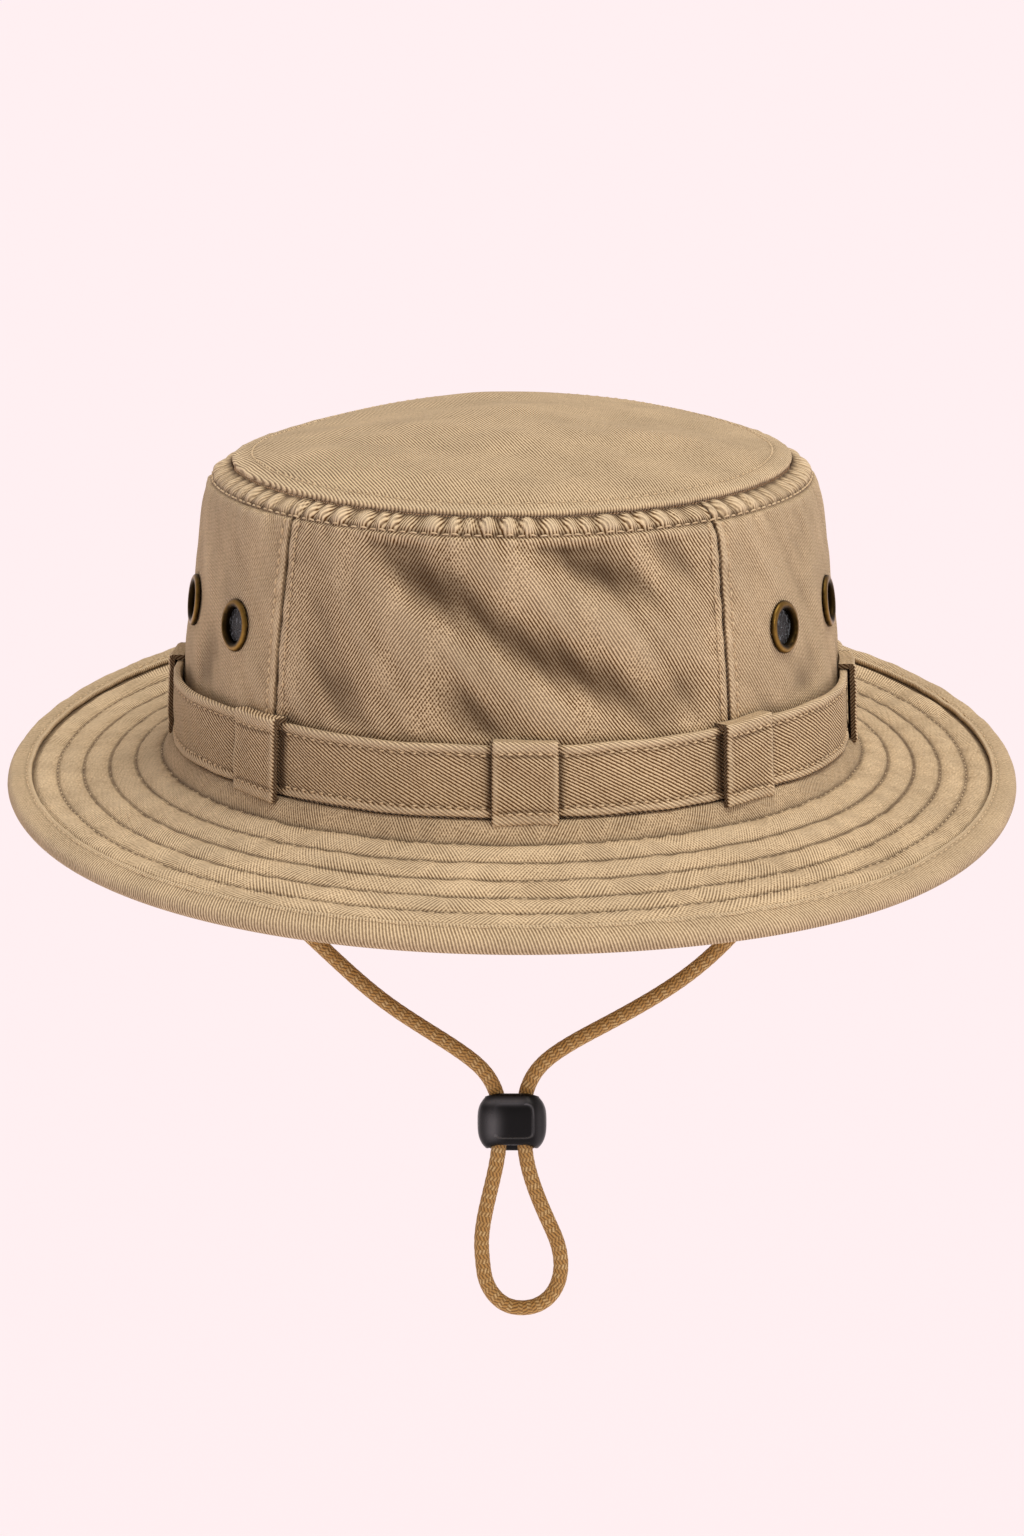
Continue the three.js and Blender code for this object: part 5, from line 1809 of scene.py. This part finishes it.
        # Painted highlights in grey: on the left shoulder and a little on the right, along the top's brow,
        # and along the lower and right edges of the sunk panel.
        shoulder = bell(x + 5.4, 1.5) * smooth(6.5, 1.0, np.abs(z)) + 0.3 * bell(x - 7.6, 0.8)
        brow = 0.7 * bell(z - 6.4, 0.6) * smooth(9.0, 3.0, np.abs(x + 2.0))
        line = bell(np.abs(round_box - 1.0), 0.03) * front * ((z[:64] < -2.0) + (x[:64] > 3.5))
        painted_highlight = (0.8 * shoulder + brow) * (y < 0)
        painted_highlight[:64] += 0.8 * line
        sections[..., 2] = z * round_end * np.where(z > 0, raised, lowered) + self.lock_centre
        zeros = np.zeros((len(sections) + 1, columns + 1, 2))
        return swept_piece("cord_lock_barrel", sections, zeros, {"painted_highlight": np.clip(painted_highlight, 0, 1)})

    def tab(self, name: str, side: int) -> bpy.types.Object:
        """Builds a folded tab: a round-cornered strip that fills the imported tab's box.

        Args:
            name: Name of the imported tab.
            side: -1 on the left and 1 on the right.

        Returns:
            The object.
        """
        low, high = (np.array(v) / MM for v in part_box(name))
        middle = (low + high) / 2
        half = (high - low) / 2
        sides = 64
        turn = np.arange(sides) * TAU / sides
        bend = (np.abs(np.sin(turn)) ** 5 + np.abs(np.cos(turn)) ** 5) ** (-1 / 5)
        shell = np.linspace(-1, 1, 26)
        size = (1 - np.abs(shell) ** 7) ** (1 / 7) * 0.985 + 0.015
        sections = np.stack([
            middle[0] + half[0] * np.outer(size, bend * np.cos(turn)),
            middle[1] + half[1] * np.outer(size, bend * np.sin(turn)),
            middle[2] + half[2] * np.outer(shell, np.ones(sides)),
        ], -1)
        sections[..., 0] += side * -0.12 * np.cos(np.pi * shell)[:, None]
        quads, opened = grid_faces(*sections.shape[:2], False, True)
        ring = np.arange(sides)[None, :]
        last = (len(shell) - 1) * sides + ring
        along, up = np.meshgrid(np.arange(sides + 1) * 0.45, shell * half[2])
        weave = weave_lines(along, up, 50, Slant.DOWN_RIGHT).reshape(-1, 2)
        cap = (len(shell) - 1) * (sides + 1) + ring
        corners = np.concatenate([opened.ravel(), ring[:, ::-1].ravel(), cap.ravel()])
        return make_piece(f"{name}_tape", sections, [quads, ring[:, ::-1], last], weave[corners],
                          {"painted_shade": np.zeros(sections.shape[:2])})

    def build(
        self, braid: bpy.types.Material, plastic: bpy.types.Material, tape: bpy.types.Material,
    ) -> list[bpy.types.Object]:
        """Args:
            braid: Material of the cord.
            plastic: Material of the lock.
            tape: Material of the tabs.

        Returns:
            The pieces.
        """
        cord, line = self.cord()
        dress(cord, braid, "braided_cord", "chin_cord")
        lock = dress(self.lock(), plastic, "black_plastic", "cord_lock")
        tabs = [dress(self.tab(f"cord_anchor_{name}", side), tape, "twill_trim", f"cord_anchor_{name}")
                for name, side in (("left", -1), ("right", 1))]
        return [cord, lock, *tabs]


# The studio

@dataclass
class Studio:
    """Camera, lights, backdrop and floor. Its sizes are in metres."""

    distance: float = 1.5
    elevation: float = 13.55
    aim_height: float = -0.01141
    focal_pixels: float = 5538.6
    image_height: float = 1536.0
    sensor: float = 36.0
    floor_height: float = -0.42
    floor_size: float = 60.0
    backdrop: str = "#FDF0F2"
    paper: str = "#D3CBD2"
    paper_glow: float = 0.3
    sky: str = "#FDEFEC"
    surround: float = 0.5

    def camera(self) -> None:
        """Sets the camera at the photo's angle, turned about the hat's middle axis."""
        data = bpy.data.cameras.new("camera")
        data.sensor_width = self.sensor
        data.lens = self.focal_pixels * self.sensor / self.image_height
        data.clip_end = 100.0
        made = bpy.data.objects.new("camera", data)
        bpy.context.scene.collection.objects.link(made)
        tilt = np.radians(self.elevation)
        back = Vector((0.0, -float(np.cos(tilt)), float(np.sin(tilt))))
        made.location = Vector((0.0, 0.0, self.aim_height)) + back * self.distance
        made.rotation_mode = "QUATERNION"
        made.rotation_quaternion = (-back).to_track_quat("-Z", "Y")
        bpy.context.scene.camera = made

    def soft_light(self, name: str, way: tuple, share: float, spread: float, tint: str) -> None:
        """Adds an even light from a wide part of the sky.

        Args:
            name: The light's name.
            way: Direction towards the light.
            share: Brightness that it gives a white surface square to it, where 1 is white.
            spread: Width of the light on the sky, in degrees.
            tint: Its colour.
        """
        data = bpy.data.lights.new(name, "SUN")
        data.angle = float(np.radians(spread))
        data.energy = share * float(np.pi)
        data.color = linear(tint)[:3]
        made = bpy.data.objects.new(name, data)
        made.location = Vector(way)
        made.rotation_mode = "QUATERNION"
        made.rotation_quaternion = (-Vector(way)).to_track_quat("-Z", "Y")
        bpy.context.scene.collection.objects.link(made)

    def floor(self) -> None:
        """Lays a plain pale floor, far enough below the hat that its shadow fades out."""
        half = self.floor_size / 2
        z = self.floor_height
        mesh = bpy.data.meshes.new("floor")
        corners = [(-half, -half, z), (half, -half, z), (half, half, z), (-half, half, z)]
        mesh.from_pydata(corners, [], [(0, 1, 2, 3)])
        made = bpy.data.objects.new("floor", mesh)
        bpy.context.scene.collection.objects.link(made)
        material, tree = blank_material("pale_paper")
        paint = node(tree, "BsdfDiffuse", {"Color": linear(self.paper)})
        glow = node(tree, "Emission", {"Color": linear(self.backdrop), "Strength": self.paper_glow})
        both = node(tree, "AddShader", {0: paint.outputs[0], 1: glow.outputs[0]})
        node(tree, "OutputMaterial", {0: both.outputs[0]})
        mesh.materials.append(material)

    def light(self) -> None:
        """Lights the scene: a soft key high behind on the right, a front fill, and a pale surround."""
        self.soft_light("key", (0.28, -0.05, 1.0), 0.56, 30, "#FFFCF4")
        self.soft_light("fill", (0.75, -1.0, 0.62), 0.15, 16, "#FFF6EC")
        world = bpy.data.worlds.new("surround")
        world.use_nodes = True
        world.node_tree.nodes["Background"].inputs[0].default_value = linear(self.sky)
        world.node_tree.nodes["Background"].inputs[1].default_value = self.surround
        bpy.context.scene.world = world
        bpy.context.scene.view_settings.view_transform = "Standard"


def main() -> None:
    """Builds the hat's pieces in order and sets the studio."""
    logging.basicConfig(level=logging.INFO, format="%(name)s: %(message)s")
    studio = Studio()
    studio.camera()
    form = HatForm()
    stitches = Stitches(form)
    cloth = Twill("khaki_twill", middle=0.44, contrast=2.0).material()
    # A paler copy with less contrast, for the side panels.
    paler = Twill("khaki_twill_paler", middle=0.53, contrast=0.8).material()
    top = Twill("khaki_twill_top", middle=0.62, contrast=1.5).material()
    brim_cloth = Twill("khaki_twill_brim", middle=0.56, contrast=1.3, crossing=116.0).material()
    binding = Twill("khaki_binding", middle=0.56, contrast=1.0).material()
    tape = Twill("khaki_tape", middle=0.41, contrast=2.1, beading=0.2).material()
    thread = Thread().material()
    ChinCord(form).build(BraidedCord().material(), SatinNylon().material(), tape)
    crown = Crown(form, stitches)
    crown.build(cloth, paler, top, thread)
    Brim(form, Stitches(form, radius=0.2)).build(brim_cloth, binding, thread)
    HatBand(form, stitches).build(tape, tape, thread)
    Vents(crown).build(AntiqueBrass().material(), KnitMesh().material())
    studio.floor()
    studio.light()


if __name__ == "__main__":
    main()
